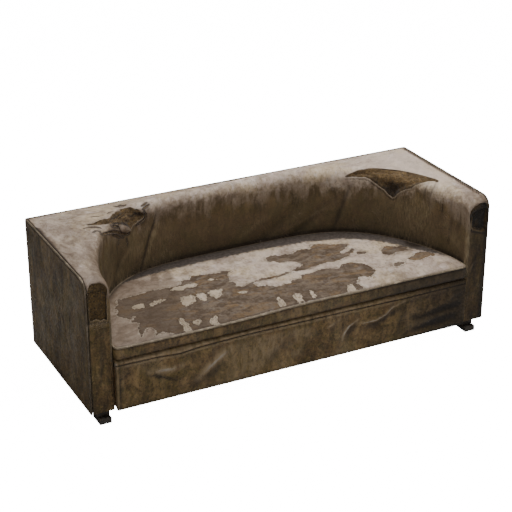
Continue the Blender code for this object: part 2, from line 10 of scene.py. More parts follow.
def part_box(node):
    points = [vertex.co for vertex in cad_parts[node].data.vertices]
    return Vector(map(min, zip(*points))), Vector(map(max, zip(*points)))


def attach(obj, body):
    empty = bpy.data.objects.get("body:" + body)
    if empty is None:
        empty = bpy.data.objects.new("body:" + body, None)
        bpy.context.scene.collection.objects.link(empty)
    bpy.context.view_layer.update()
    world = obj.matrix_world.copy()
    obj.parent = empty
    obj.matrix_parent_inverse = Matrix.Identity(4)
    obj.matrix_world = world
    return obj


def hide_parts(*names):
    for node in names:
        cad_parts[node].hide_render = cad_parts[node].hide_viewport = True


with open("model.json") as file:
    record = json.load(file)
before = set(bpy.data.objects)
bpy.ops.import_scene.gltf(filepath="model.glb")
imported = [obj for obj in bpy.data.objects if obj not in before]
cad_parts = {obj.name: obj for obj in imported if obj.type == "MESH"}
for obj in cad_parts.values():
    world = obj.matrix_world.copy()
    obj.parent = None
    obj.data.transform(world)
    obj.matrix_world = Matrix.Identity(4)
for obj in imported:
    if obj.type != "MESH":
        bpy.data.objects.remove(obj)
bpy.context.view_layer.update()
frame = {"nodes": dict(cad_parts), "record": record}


# Shapes are drawn in the sofa's own axes: x along it, y back from the arms' front face, z up
# from the underside of the upholstered box. The origin below carries them into the frame.
origin = np.array([0.0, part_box("left_arm_front_cover")[0].y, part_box("left_side_cover")[0].z])


def lowCorner(node):
    return np.array(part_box(node)[0]) - origin


def highCorner(node):
    return np.array(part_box(node)[1]) - origin


boxHalf, boxDepth, boxTop = highCorner("outer_piping")

inside = {
    "halfWidth": 0.977,  # middle of the seat to an arm's inside face
    "depth": 0.7365,
    "straight": 0.06,  # straight run behind each arm front
    "powerX": 4.2,  # how square the horseshoe's corners are
    "powerY": 1.4,
    "roll": 0.05,
    "frontRound": 0.06,
    "armEdge": 0.012,
    "foot": 0.2545,
    "edge": 0.0103,  # the flat top stops this far inside the outer line
    "leather": 0.0022,
}
insideTop = highCorner("inside_cover")[2]
quarterRoll = inside["roll"] * math.pi / 2


def addObject(name, data):
    piece = bpy.data.objects.new(name, data)
    bpy.context.scene.collection.objects.link(piece)
    return piece


def meshOf(name, points, faces, edges=()):
    data = bpy.data.meshes.new(name)
    data.from_pydata(points, edges, faces)
    return data


def evaluated(piece):
    return piece.evaluated_get(bpy.context.evaluated_depsgraph_get())


def placesOf(data):
    made = np.zeros(len(data.vertices) * 3)
    data.vertices.foreach_get("co", made)
    return made.reshape(-1, 3)


# Numbers and meshes


def metres(shape):
    # outlines are noted in millimetres
    if isinstance(shape, (list, tuple)):
        return [metres(part) for part in shape]
    return shape / 1000


def folds(noted):
    # for each fold its line, half width and lift in millimetres, and last its tone
    return [(*metres(fold[:-1]), fold[-1]) for fold in noted]


def smoothNoise(spots, size, seed=0):
    # value noise from -1 to 1, with lumps of the given size
    scaled = np.asarray(spots, float) / size + 7.13 * seed + 100
    cell = np.floor(scaled).astype(np.int64)
    part = scaled - cell
    part = part * part * (3 - 2 * part)
    total = np.zeros(len(scaled))
    for corner in range(2 ** scaled.shape[1]):
        mix = np.full(len(scaled), seed * 7919 + 11, np.int64)
        weight = np.ones(len(scaled))
        for axis in range(scaled.shape[1]):
            step = corner >> axis & 1
            mix = ((mix ^ (cell[:, axis] + step)) * (1640531527 + 96 * axis)) & 0x7FFFFFFF
            mix = ((mix ^ (mix >> 15)) * 1103515245) & 0x7FFFFFFF
            mix = mix ^ (mix >> 13)
            weight = weight * (part[:, axis] if step else 1 - part[:, axis])
        total += weight * ((mix & 0xFFFF) / 32767.5 - 1)
    return total


def cloudNoise(spots, size, seed=0, octaves=3):
    total = 0
    for octave in range(octaves):
        total = total + smoothNoise(spots, np.asarray(size) / 2**octave, seed + octave) / 2**octave
    return total / 1.5


def bump(value, width, middle=0.0):
    return np.exp(-(((value - middle) / width) ** 2))


def oval(x, y, middle, size):
    # a soft spot with its own width and height
    return np.exp(-(((x - middle[0]) / size[0]) ** 2) - ((y - middle[1]) / size[1]) ** 2)


def eased(value, low, high):
    share = np.clip((value - low) / (high - low), 0, 1)
    return share * share * (3 - 2 * share)


def positive(value):
    return np.clip(value, 0, None)


def readOff(line, place):
    # the height of a line of (place, height) pairs
    return np.interp(place, *np.array(line).T)


def sideways(along):
    # unit directions square to the given ones
    return np.c_[-along[:, 1], along[:, 0]] / np.linalg.norm(along, axis=1)[:, None]


def lineDistance(spots, line, closed=False):
    # distance to a line of points, and how far along it the nearest point lies, from 0 to 1
    line = np.asarray(line, float)
    starts = line if closed else line[:-1]
    ends = np.r_[line[1:], line[:1]] if closed else line[1:]
    lengths = np.linalg.norm(ends - starts, axis=1)
    run = np.r_[0, np.cumsum(lengths)]
    nearest = np.full(len(spots), 1e9)
    along = np.zeros(len(spots))
    for start, end, length, before in zip(starts, ends, lengths, run):
        step = end - start
        share = np.clip((spots - start) @ step / max(step @ step, 1e-12), 0, 1)
        gap = np.linalg.norm(spots - start - share[:, None] * step, axis=1)
        closer = gap < nearest
        nearest = np.where(closer, gap, nearest)
        along = np.where(closer, before + share * length, along)
    return nearest, along / run[-1]


def outlineDistance(spots, outline):
    # distance to a closed outline, negative inside it
    outline = np.asarray(outline, float)
    within = np.zeros(len(spots), bool)
    for (x0, y0), (x1, y1) in zip(outline, np.roll(outline, -1, 0)):
        crosses = (y0 > spots[:, 1]) != (y1 > spots[:, 1])
        reach = (x1 - x0) * (spots[:, 1] - y0) / ((y1 - y0) or 1e-12) + x0
        within ^= crosses & (spots[:, 0] < reach)
    gap = lineDistance(spots, outline, closed=True)[0]
    return np.where(within, -gap, gap)


def evenLine(points, step, closed=False):
    points = np.asarray(points, float)
    if closed:
        points = np.r_[points, points[:1]]
    run = np.r_[0, np.cumsum(np.linalg.norm(np.diff(points, axis=0), axis=1))]
    count = max(int(round(run[-1] / step)), 2)
    at = np.linspace(0, run[-1], count + 1)
    line = np.stack([np.interp(at, run, column) for column in points.T], 1)
    return line[:-1] if closed else line


def raggedOutline(points, step, roughness, seed):
    # a closed outline at even steps, frayed sideways
    line = evenLine(points, step, closed=True)
    along = np.roll(line, -1, 0) - np.roll(line, 1, 0)
    return line + sideways(along) * (roughness * cloudNoise(line, 4 * step, seed))[:, None]


def creaseLift(spots, line, width, depth):
    # a groove along a line with a soft ridge on each side, fading at its ends
    gap, along = lineDistance(spots, line)
    fade = np.sin(np.clip(along, 0.02, 0.98) * math.pi) ** 0.5 * (gap < 5 * width)
    groove = bump(gap, width)
    ridge = bump(gap - 2.1 * width, 1.2 * width)
    return depth * fade * (0.5 * ridge - groove)


def foldLift(spots, line, width, lift):
    # a soft ridge along a line, or a groove where the lift is negative, fading at its ends
    if lift < 0:
        return creaseLift(spots, line, width, -lift)
    gap, along = lineDistance(spots, line)
    fade = np.sin(np.clip(along, 0.01, 0.99) * math.pi) ** 0.7
    return lift * fade * bump(gap, width)


def foldTone(spots, line, width):
    # 1 along the middle of a line, wandering a little and fading out at its ends
    gap, along = lineDistance(spots, line)
    gap = gap + 0.35 * width * cloudNoise(spots, 0.03, 17)
    return np.sin(np.clip(along, 0.0, 1.0) * math.pi) ** 0.6 * bump(gap, width)


def softFloor(lift, low):
    # keeps slack leather from sinking into what is under it
    return np.where(lift < 0, -low * np.tanh(-lift / low), lift)


def slitOutline(line, width):
    # a thin cut along a line, widest in its middle
    line = evenLine(line, 0.004)
    aside = sideways(np.gradient(line, axis=0))
    share = np.linspace(0, 1, len(line))
    half = 0.5 * width * np.sin(np.clip(share, 0.02, 0.98) * math.pi) ** 0.6
    half = half * (1 + 0.3 * smoothNoise(line, 0.006, 19))
    return np.r_[line + aside * half[:, None], (line - aside * half[:, None])[::-1][1:-1]]


def triangulated(rim, fill, holes=(), nearness=1e-6):
    # triangles over the rim, the filling and the holes' outlines, with each point's sources
    points = [*rim, *fill]
    edges = [(i, (i + 1) % len(rim)) for i in range(len(rim))]
    for hole in holes:
        first = len(points)
        points += [*hole]
        edges += [(first + i, first + (i + 1) % len(hole)) for i in range(len(hole))]
    corners = [Vector(point) for point in points]
    made = geometry.delaunay_2d_cdt(corners, edges, [], 0 if holes else 1, nearness)
    return np.array([tuple(corner) for corner in made[0]]), made[2], made[3]


def gridOf(columns, rows):
    return np.stack(np.meshgrid(columns, rows, indexing="ij"), -1)


def gridFaces(columns, rows, closed=False):
    index = np.arange(columns * rows).reshape(columns, rows)
    if closed:
        index = np.c_[index, index[:, :1]]
    corners = (index[:-1, :-1], index[1:, :-1], index[1:, 1:], index[:-1, 1:])
    return np.stack(corners, -1).reshape(-1, 4)


def patchwork(flat, windows):
    # grid cells, with finer triangles in the windows and each window's holes left open
    columns, rows = flat.shape[:2]
    index = np.arange(columns * rows).reshape(columns, rows)
    kept = np.ones((columns - 1, rows - 1), bool)
    spots = flat.reshape(-1, 2).tolist()
    extra = []
    for (c0, c1, r0, r1), holes, spacing in windows:
        kept[c0:c1, r0:r1] = False
        ring = [index[c, r0] for c in range(c0, c1)] + [index[c1, r] for r in range(r0, r1)]
        ring += [index[c, r1] for c in range(c1, c0, -1)] + [index[c0, r] for r in range(r1, r0, -1)]
        rim = flat.reshape(-1, 2)[ring]
        low, high = rim.min(0), rim.max(0)
        fill = np.array([
            (u + (spacing / 2 if row % 2 else 0), w)
            for row, w in enumerate(np.arange(low[1], high[1], spacing))
            for u in np.arange(low[0], high[0], spacing)
        ])
        clear = outlineDistance(fill, rim) < -0.6 * spacing
        for hole in holes:
            clear &= outlineDistance(fill, hole) > 0.5 * spacing
        placed, triangles, origins = triangulated(rim, fill[clear], holes)
        number = []
        for corner, sources in zip(placed, origins):
            onRim = [ring[source] for source in sources if source < len(ring)]
            number.append(onRim[0] if onRim else len(spots))
            if not onRim:
                spots.append(tuple(corner))
        triangles = np.array(triangles)
        centres = placed[triangles].mean(1)
        good = outlineDistance(centres, rim) < 0
        for hole in holes:
            good &= outlineDistance(centres, hole) > 0
        extra += np.array(number)[triangles[good]].tolist()
    quads = gridFaces(columns, rows).reshape(columns - 1, rows - 1, 4)[kept]
    faces = quads.tolist() + extra
    used = sorted({corner for face in faces for corner in face})
    renumber = dict(zip(used, range(len(used))))
    return np.array(spots)[used], [[renumber[corner] for corner in face] for face in faces]


def makePiece(name, points, faces, materials, outward, flat=None, values=None, second=None):
    # a smooth mesh piece, its faces turned to agree with the outward directions
    points = np.asarray(points, float)
    faces = [list(map(int, face)) for face in faces]
    first = np.array([face[:3] for face in faces])
    a, b, c = points[first[:, 0]], points[first[:, 1]], points[first[:, 2]]
    outward = np.broadcast_to(outward, points.shape)[first[:, 0]]
    agree = np.einsum("ij,ij->i", np.cross(b - a, c - a), outward)
    if agree.sum() < 0:
        faces = [face[::-1] for face in faces]
    data = meshOf(name, (points + origin).tolist(), faces)
    if flat is not None:
        corner = np.zeros(len(data.loops), np.int32)
        data.loops.foreach_get("vertex_index", corner)
        layer = data.uv_layers.new(name="leatherUV")
        layer.data.foreach_set("uv", np.asarray(flat, np.float32)[corner].ravel())
    for label, value in (values or {}).items():
        layer = data.attributes.new(label, "FLOAT", "POINT")
        layer.data.foreach_set("value", np.full(len(points), value, np.float32))
    for material in materials:
        data.materials.append(material)
    if second is not None:
        for face in data.polygons:
            face.material_index = int(second[face.vertices[0]])
    data.shade_smooth()
    return addObject(name, data)


def settle(piece, slotName, *replaced, fill=None):
    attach(piece, "root")
    if replaced:
        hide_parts(*replaced)
    return piece


def thicken(piece, thickness, rim=0, under=0):
    wall = piece.modifiers.new("thickness", "SOLIDIFY")
    wall.thickness = thickness
    wall.offset = -1
    wall.material_offset_rim = rim
    wall.material_offset = under


def leatherSheet(name, slotName, node, points, faces, outward, flat, values, **look):
    # leather with its raw side behind it and its raw edge round it, unless "rim" says otherwise
    face = look.get("face", panelLeather)
    piece = makePiece(name, points, faces, [face, rawLeather], outward, flat, values)
    thicken(piece, look.get("thick", 0.002), look.get("rim", 1), 1)
    settle(piece, slotName, *node)


def steps(knots):
    # stations with the spacing given between each pair of knots: (place, spacing), ...
    made = [knots[0][0]]
    for (start, spacing), (end, _) in zip(knots, knots[1:]):
        count = max(int(round((end - start) / spacing)), 1)
        made += np.linspace(start, end, count + 1)[1:].tolist()
    return np.array(made)


# The inside wall's curve, its roll and the flat top


def traceWall():
    turn = np.linspace(0, math.pi / 2, 20000)
    reach = inside["depth"] - inside["straight"]
    x = inside["halfWidth"] * np.cos(turn) ** (2 / inside["powerX"])
    y = inside["straight"] + reach * np.sin(turn) ** (2 / inside["powerY"])
    x[-1] = 0
    x = np.r_[np.full(200, inside["halfWidth"]), x]
    y = np.r_[np.linspace(0, inside["straight"], 200, endpoint=False), y]
    return x, y, np.r_[0, np.cumsum(np.hypot(np.diff(x), np.diff(y)))]


def curveNormal(x, y):
    reach = inside["depth"] - inside["straight"]
    slopeX = inside["powerX"] * (x / inside["halfWidth"]) ** (inside["powerX"] - 1)
    slopeY = inside["powerY"] * (positive(y - inside["straight"]) / reach) ** 0.4
    normal = np.stack([slopeX / inside["halfWidth"], slopeY / reach], -1)
    return normal / np.linalg.norm(normal, axis=-1, keepdims=True)


wallX, wallY, wallRun = traceWall()
halfRun = wallRun[-1]
cornerIndex = np.argmax(curveNormal(wallX, wallY)[:, 1] > 0.62)
cornerX, cornerY = wallX[cornerIndex], wallY[cornerIndex]


def wallAt(u):
    # u runs along the curve from the middle of the back, to the right
    run = halfRun - np.abs(u)
    x, y = np.interp(run, wallRun, wallX), np.interp(run, wallRun, wallY)
    side = np.where(u < 0, -1.0, 1.0)
    normal = curveNormal(x, y) * np.stack([side, np.ones_like(side)], -1)
    return np.stack([x * side, y], -1), normal


def rounding(distance, radius, depth=0.0):
    inner = radius - depth
    drop = inner - np.sqrt(np.maximum(inner**2 - (radius - distance) ** 2, 0))
    return np.where(distance >= radius, 0, drop)


def topEdge(spot):
    edgeX, edgeY = boxHalf - inside["edge"], boxDepth - inside["edge"]
    share = positive(spot[:, 1] - inside["straight"]) / (cornerY - inside["straight"])
    beside = np.c_[np.sign(spot[:, 0] + 1e-9) * edgeX, spot[:, 1] + share * (edgeY - cornerY)]
    behind = np.c_[spot[:, 0] * edgeX / cornerX, np.full(len(spot), edgeY)]
    return np.where((spot[:, 1] <= cornerY)[:, None], beside, behind)


def topReach(u):
    spot, normal = wallAt(u)
    wall = rounding(spot[:, 1], inside["armEdge"]) + inside["roll"]
    return np.linalg.norm(topEdge(spot) - spot - normal * wall[:, None], axis=1)


def coverSurface(u, w, depth=0.0):
    # w is 0 where the flat top meets the roll, positive on the top and negative down the wall
    spot, normal = wallAt(u)
    wall = depth + rounding(spot[:, 1], inside["armEdge"], depth)
    top = insideTop - depth - rounding(spot[:, 1], inside["frontRound"], depth)
    radius = inside["roll"] - depth
    turn = np.clip(-w / inside["roll"], 0, math.pi / 2)
    across = wall + radius - radius * np.sin(turn)
    height = top - radius + radius * np.cos(turn) + np.minimum(w + quarterRoll, 0)
    flat = spot + normal * np.asarray(across)[:, None]
    share = positive(w / topReach(u))[:, None]
    start = spot + normal * (wall + radius)[:, None]
    flat = np.where((w > 0)[:, None], start + (topEdge(spot) - start) * share, flat)
    return np.c_[flat, height]


def coverNormal(u, w, depth=0.0):
    step = 0.0004
    safe = np.clip(u, -halfRun + step, halfRun - step)
    along = coverSurface(safe + step, w, depth) - coverSurface(safe - step, w, depth)
    up = coverSurface(safe, w + step, depth) - coverSurface(safe, w - step, depth)
    normal = np.cross(along, up)
    length = np.linalg.norm(normal, axis=1, keepdims=True)
    normal = normal / np.maximum(length, 1e-12)
    expected = np.c_[-wallAt(u)[1], np.ones(len(u))]
    return normal * np.sign(np.einsum("ij,ij->i", normal, expected))[:, None]


# Shader helpers


def feed(socket, value):
    # links a socket to its source, or sets its own value
    if isinstance(value, bpy.types.NodeSocket):
        socket.id_data.links.new(value, socket)
    else:
        socket.default_value = (*value[:3], 1.0) if socket.type == "RGBA" else value


def newNode(tree, kind, inputs=None, **settings):
    made = tree.nodes.new(kind)
    for label, value in settings.items():
        setattr(made, label, value)
    for label, value in (inputs or {}).items():
        feed(made.inputs[label], value)
    return made


def addNode(tree, kind, inputs=None, **settings):
    return newNode(tree, "ShaderNode" + kind, inputs, **settings)


def maths(operation, first, second=0.0):
    socket = first if isinstance(first, bpy.types.NodeSocket) else second
    inputs = {0: first, 1: second}
    return addNode(socket.id_data, "Math", inputs, operation=operation).outputs[0]


def times(first, *others):
    for other in others:
        first = maths("MULTIPLY", first, other)
    return first


def plus(first, *others):
    for other in others:
        first = maths("ADD", first, other)
    return first


def minus(first, second):
    return maths("SUBTRACT", first, second)


def moved(vector, shift):
    return addNode(vector.id_data, "VectorMath", {0: vector, 1: shift}, operation="ADD").outputs[0]


def stretched(vector, scale):
    inputs = {0: vector, 1: scale}
    return addNode(vector.id_data, "VectorMath", inputs, operation="MULTIPLY").outputs[0]


def noiseOf(vector, scale, detail=3.0, roughness=0.55, distortion=0.0):
    inputs = {"Vector": vector, "Scale": scale, "Detail": detail, "Roughness": roughness}
    inputs["Distortion"] = distortion
    return addNode(vector.id_data, "TexNoise", inputs).outputs[0]


def drawnNoise(vector, along, across, detail, roughness=0.55, distortion=0.0):
    # noise drawn out in one direction of a sheet
    return noiseOf(stretched(vector, (along, across, 1.0)), 1.0, detail, roughness, distortion)


def softStep(value, low, high):
    inputs = {"Value": value, "From Min": low, "From Max": high}
    return addNode(value.id_data, "MapRange", inputs, interpolation_type="SMOOTHSTEP").outputs[0]


def rescaled(value, low, high):
    return addNode(value.id_data, "MapRange", {"Value": value, "To Min": low, "To Max": high}).outputs[0]


def blended(share, first, second):
    inputs = {0: share, 6: first, 7: second}
    return addNode(share.id_data, "Mix", inputs, data_type="RGBA").outputs[2]


def layered(colour, *layers):
    # coats over a colour, each with its share and its tone
    for share, tone in layers:
        colour = blended(share, colour, tone)
    return colour


def attribute(tree, label):
    return addNode(tree, "Attribute", attribute_name=label).outputs["Fac"]


def sheetPlace(tree):
    # the piece's own flat coordinates, in metres
    return addNode(tree, "UVMap", uv_map="leatherUV").outputs[0]


def objectPlace(tree):
    return addNode(tree, "TexCoord").outputs["Object"]


def newGroup(name, outputs, **numbers):
    # a group that takes a Vector and the named numbers, and gives numbers or a Color
    group = bpy.data.node_groups.new(name, "ShaderNodeTree")
    newSocket = group.interface.new_socket
    newSocket("Vector", in_out="INPUT", socket_type="NodeSocketVector")
    for label, start in numbers.items():
        newSocket(label, in_out="INPUT", socket_type="NodeSocketFloat").default_value = start
    for label in outputs:
        kind = "Color" if label == "Color" else "Float"
        newSocket(label, in_out="OUTPUT", socket_type="NodeSocket" + kind)
    given, result = group.nodes.new("NodeGroupInput"), group.nodes.new("NodeGroupOutput")
    return group, given.outputs, result.inputs


def useGroup(group, place, **numbers):
    made = place.id_data.nodes.new("ShaderNodeGroup")
    made.node_tree = group
    feed(made.inputs["Vector"], place)
    for label, value in numbers.items():
        feed(made.inputs[label], value)
    return made.outputs


def grainGroup():
    # pebbled leather grain with fine cracks; heights in metres
    group, given, result = newGroup("leatherGrain", ("Height", "Crack"), Pebble=420.0, Cracks=0.5)
    place = given["Vector"]
    cells = addNode(group, "TexVoronoi", {"Vector": place, "Scale": given["Pebble"]})
    pebble = times(cells.outputs["Distance"], -0.00022)
    wander = addNode(group, "TexNoise", {"Vector": place, "Scale": 40.0, "Detail": 2.0})
    bent = moved(place, stretched(wander.outputs["Color"], (0.02, 0.02, 0.02)))
    inputs = {"Vector": bent, "Scale": 75.0}
    plates = addNode(group, "TexVoronoi", inputs, feature="DISTANCE_TO_EDGE").outputs["Distance"]
    thin = softStep(plates, 0.07, 0.0)
    where = softStep(noiseOf(place, 9.0, 3.0), 0.48, 0.62)
    crack = times(times(thin, where), given["Cracks"])
    folds = times(noiseOf(place, 26.0, 4.0, 0.6), 0.0016)
    height = minus(plus(pebble, folds), times(crack, 0.0005))
    feed(result["Height"], height)
    feed(result["Crack"], crack)
    return group


def streakGroup():
    # soft streaks that run down a sheet, from hands, heads and years of dust
    group, given, result = newGroup("streaks", ("Light", "Dark", "Fine"), Pitch=0.02, Length=0.2)
    parts = addNode(group, "SeparateXYZ", {0: given["Vector"]}).outputs
    across = maths("DIVIDE", parts[0], given["Pitch"])
    down = maths("DIVIDE", parts[1], given["Length"])
    place = addNode(group, "CombineXYZ", {0: across, 1: down, 2: 0.0}).outputs[0]
    broad = noiseOf(place, 0.42, 5.0, 0.66, 0.5)
    fine = noiseOf(place, 2.2, 4.0, 0.66)
    feed(result["Light"], softStep(broad, 0.51, 0.64))
    feed(result["Dark"], softStep(broad, 0.49, 0.36))
    feed(result["Fine"], softStep(fine, 0.42, 0.62))
    return group


def fleckGroup():
    # mottling in small dark and light flecks
    group, given, result = newGroup("flecks", ("Dark", "Light"), Size=0.012)
    scale = maths("DIVIDE", 0.7, given["Size"])
    cloud = noiseOf(given["Vector"], scale, 5.0, 0.72, 0.4)
    feed(result["Dark"], softStep(cloud, 0.48, 0.35))
    feed(result["Light"], softStep(cloud, 0.53, 0.66))
    return group


def grimeGroup():
    # cloudy dirt with a ragged edge
    group, given, result = newGroup("grime", ("Mask",), Size=0.1, Amount=0.5)
    scale = maths("DIVIDE", 1.0, given["Size"])
    cloud = noiseOf(given["Vector"], scale, 6.0, 0.65, 0.4)
    start = minus(0.9, given["Amount"])
    share = minus(cloud, times(start, 0.8))
    feed(result["Mask"], softStep(share, 0.0, 0.25))
    return group


def scuffGroup():
    # pale hairline scratches
    group, given, result = newGroup("scuffs", ("Mask",), Amount=0.5)
    spun = addNode(group, "VectorRotate", {0: given["Vector"], 3: 0.7})
    place = stretched(spun.outputs[0], (9.0, 70.0, 30.0))
    lines = noiseOf(place, 1.0, 2.0, 0.5, 1.2)
    thin = maths("ABSOLUTE", minus(lines, 0.5))
    thin = softStep(thin, 0.012, 0.0)
    where = softStep(noiseOf(given["Vector"], 7.0, 2.0), 0.5, 0.66)
    mask = times(times(thin, where), given["Amount"])
    feed(result["Mask"], mask)
    return group


grain, streaks, grime, scuffs = grainGroup(), streakGroup(), grimeGroup(), scuffGroup()
flecks = fleckGroup()


def newMaterial(name, roughness=0.6, specular=0.35, sheen=0.0):
    material = bpy.data.materials.new(name)
    material.use_nodes = True
    shader = material.node_tree.nodes["Principled BSDF"]
    shader.inputs["Roughness"].default_value = roughness
    shader.inputs["Specular IOR Level"].default_value = specular
    shader.inputs["Sheen Weight"].default_value = sheen
    return material, material.node_tree, shader


def dress(shader, colour, height=None, roughness=None, strength=1.0):
    feed(shader.inputs["Base Color"], colour)
    if roughness is not None:
        feed(shader.inputs["Roughness"], roughness)
    if height is not None:
        inputs = {"Strength": strength, "Distance": 1.0, "Height": height}
        feed(shader.inputs["Normal"], addNode(shader.id_data, "Bump", inputs).outputs[0])


tones = {
    "clean": (0.545, 0.44, 0.345),  # what is left of the pale finish
    "cream": (0.50, 0.385, 0.25),
    "rosy": (0.38, 0.29, 0.238),
    "soiled": (0.165, 0.113, 0.074),
    "tan": (0.255, 0.165, 0.072),
    "brown": (0.130, 0.079, 0.032),
    "olive": (0.114, 0.080, 0.025),
    "dark": (0.046, 0.030, 0.0135),
    # the darkest brown: drips and cracks, and also painted shade at the wall's foot and round the seat
    "dripAndShade": (0.021, 0.014, 0.008),
    "ash": (0.205, 0.164, 0.117),
    "hide": (0.158, 0.118, 0.083),  # grey-brown hide where the finish has peeled off
    "hideDark": (0.074, 0.049, 0.030),
    "hideTan": (0.19, 0.118, 0.055),
    # seam lines, and also painted shade in creases and round the tears
    "seam": (0.012, 0.0095, 0.009),
}


def paleFinishGroup():
    # the worn pale finish: cloudy, greyed by use, browner where it is soiled
    group, given, result = newGroup("paleFinish", ("Color",), Soil=0.3)
    place = given["Vector"]
    broad = softStep(noiseOf(place, 6.5, 6.0, 0.64, 0.5), 0.42, 0.6)
    warm = softStep(drawnNoise(place, 3.0, 4.5, 5.0, 0.62, 0.4), 0.48, 0.6)
    middle = softStep(drawnNoise(place, 15.0, 24.0, 7.0, 0.72, 0.4), 0.5, 0.66)
    large = useGroup(flecks, stretched(place, (1.0, 0.7, 1.0)), Size=0.032)
    small = useGroup(flecks, stretched(place, (1.0, 0.6, 1.0)), Size=0.011)
    level = plus(times(minus(noiseOf(place, 9.0, 7.0, 0.7, 0.6), 0.5), 1.7), given["Soil"])
    soil = times(softStep(level, 0.12, 0.85), 0.95)
    murky = softStep(drawnNoise(place, 13.0, 17.0, 7.0, 0.72, 0.5), 0.38, 0.62)
    feed(result["Color"], layered(
        tones["clean"], (times(broad, 0.75), tones["rosy"]), (times(warm, 0.8), tones["cream"]),
        (times(middle, times(plus(given["Soil"], 0.5), 0.66)), tones["soiled"]),
        (times(large["Dark"], 0.42), (0.17, 0.12, 0.08)),
        (times(large["Light"], 0.48), (0.67, 0.60, 0.55)),
        (soil, blended(murky, (0.125, 0.085, 0.055), (0.245, 0.185, 0.138))),
        (times(small["Dark"], 0.5), (0.16, 0.11, 0.07)),
        (times(small["Light"], minus(0.32, times(soil, 0.32))), (0.70, 0.61, 0.53)),
    ))
    return group


def agedLeatherGroup():
    # brown leather, patchy, with years of streaks running down it
    numbers = {"Wear": 0.5, "Dirt": 0.5, "Streaks": 0.6}
    group, given, result = newGroup("agedLeather", ("Color", "Ripple"), **numbers)
    place = given["Vector"]
    wear, dirt, streaky = (given[label] for label in numbers)
    wander = addNode(group, "TexNoise", {"Vector": place, "Scale": 4.0, "Detail": 4.0})
    bent = moved(place, stretched(wander.outputs["Color"], (0.05, 0.15, 0.0)))
    runs = useGroup(streaks, bent, Pitch=0.034, Length=0.12)
    wide = useGroup(streaks, moved(bent, (7.3, 2.1, 0.0)), Pitch=0.075, Length=0.3)
    thin = useGroup(streaks, bent, Pitch=0.0085, Length=0.05)
    large, small = (useGroup(flecks, place, Size=size) for size in (0.03, 0.010))
    patches = noiseOf(place, 6.0, 6.0, 0.68, 0.8)
    mottle = drawnNoise(place, 17.0, 11.0, 7.0, 0.72, 0.6)
    rubbed = times(streaky, softStep(patches, 0.44, 0.58))
    mottled = times(dirt, 1.1)
    tan, dark, dripAndShade = tones["tan"], tones["dark"], tones["dripAndShade"]
    feed(result["Color"], layered(
        tones["brown"], (softStep(patches, 0.42, 0.56), tones["olive"]),
        (times(softStep(mottle, 0.5, 0.62), wear), tan),
        (times(runs["Light"], streaky, 0.85), tan), (times(wide["Light"], streaky, 0.36), tones["ash"]),
        (times(wide["Dark"], streaky, 0.8), dark), (times(runs["Dark"], streaky, 0.7), dark),
        (times(softStep(mottle, 0.48, 0.34), dirt), dark),
        (times(softStep(patches, 0.46, 0.34), dirt, 0.7), dark),
        (times(thin["Light"], rubbed, 0.42), (0.27, 0.185, 0.095)),
        (times(thin["Dark"], rubbed, 0.4), dripAndShade),
        (times(large["Light"], mottled), tan), (times(large["Dark"], mottled), dark),
        (times(small["Dark"], mottled), dripAndShade), (times(small["Light"], 0.3), tan),
    ))
    feed(result["Ripple"], times(thin["Light"], 0.0005))
    return group


paleFinish, agedLeather = paleFinishGroup(), agedLeatherGroup()


def insideLeatherMaterial():
    material, tree, shader = newMaterial("worn_inside_leather", 0.62, 0.3)
    place = sheetPlace(tree)
    labels = ("streaks", "stain", "shade", "rubAndLight", "drawn", "pale", "soil", "lip", "scarAndShade")
    mark = {label: attribute(tree, label) for label in labels}
    rough = useGroup(grain, place, Pebble=430.0, Cracks=0.8)
    aged = useGroup(agedLeather, place, Wear=0.3, Dirt=0.2, Streaks=mark["streaks"])
    runs = useGroup(streaks, place, Pitch=0.014, Length=0.1)
    drips = plus(maths("MAXIMUM", runs["Dark"], times(runs["Fine"], 0.5)), 0.25)
    wall = layered(
        aged["Color"], (minus(0.52, times(mark["streaks"], 0.36)), (0.086, 0.067, 0.045)),
        # real drips, then painted shade darkening the wall towards its foot
        (times(mark["stain"], drips), tones["dripAndShade"]), (mark["shade"], tones["dripAndShade"]),
        # paler where rubbed, and painted light: highlights on the arms' rounded front edges and on ridges,
        # and a lit wash on both sides
        (times(mark["rubAndLight"], plus(runs["Fine"], 0.25)), (0.24, 0.18, 0.105)),
    )
    # the finish ends softly over the roll, rubbed downwards and soiled
    brushed = drawnNoise(place, 16.0, 4.5, 7.0, 0.72, 0.35)
    clouds = drawnNoise(place, 9.0, 9.0, 8.0, 0.76, 0.2)
    level = times(minus(brushed, 0.5), times(mark["drawn"], 0.09))
    level = plus(level, times(minus(clouds, 0.5), 0.24), mark["pale"])
    soil = plus(mark["soil"], times(softStep(level, 0.075, -0.04), 0.3))
    top = useGroup(paleFinish, place, Soil=soil)["Color"]
    bright = times(softStep(soil, 0.0, -0.4), 0.4)
    ochre = blended(softStep(brushed, 0.42, 0.58), (0.088, 0.058, 0.027), (0.205, 0.152, 0.105))
    colour = layered(
        wall, (softStep(level, -0.11, -0.03), ochre),
        (softStep(level, -0.064, 0.034), blended(bright, top, (0.74, 0.605, 0.495))),
        (mark["lip"], (0.40, 0.335, 0.265)), (times(rough["Crack"], 0.55), tones["dark"]),
        # dark seams and scars, with painted shade in the fold grooves and round the tears
        (mark["scarAndShade"], tones["seam"]), (useGroup(scuffs, place, Amount=0.3)["Mask"], tones["rosy"]),
    )
    dress(shader, colour, plus(rough["Height"], aged["Ripple"]), rescaled(clouds, 0.48, 0.78))
    return material


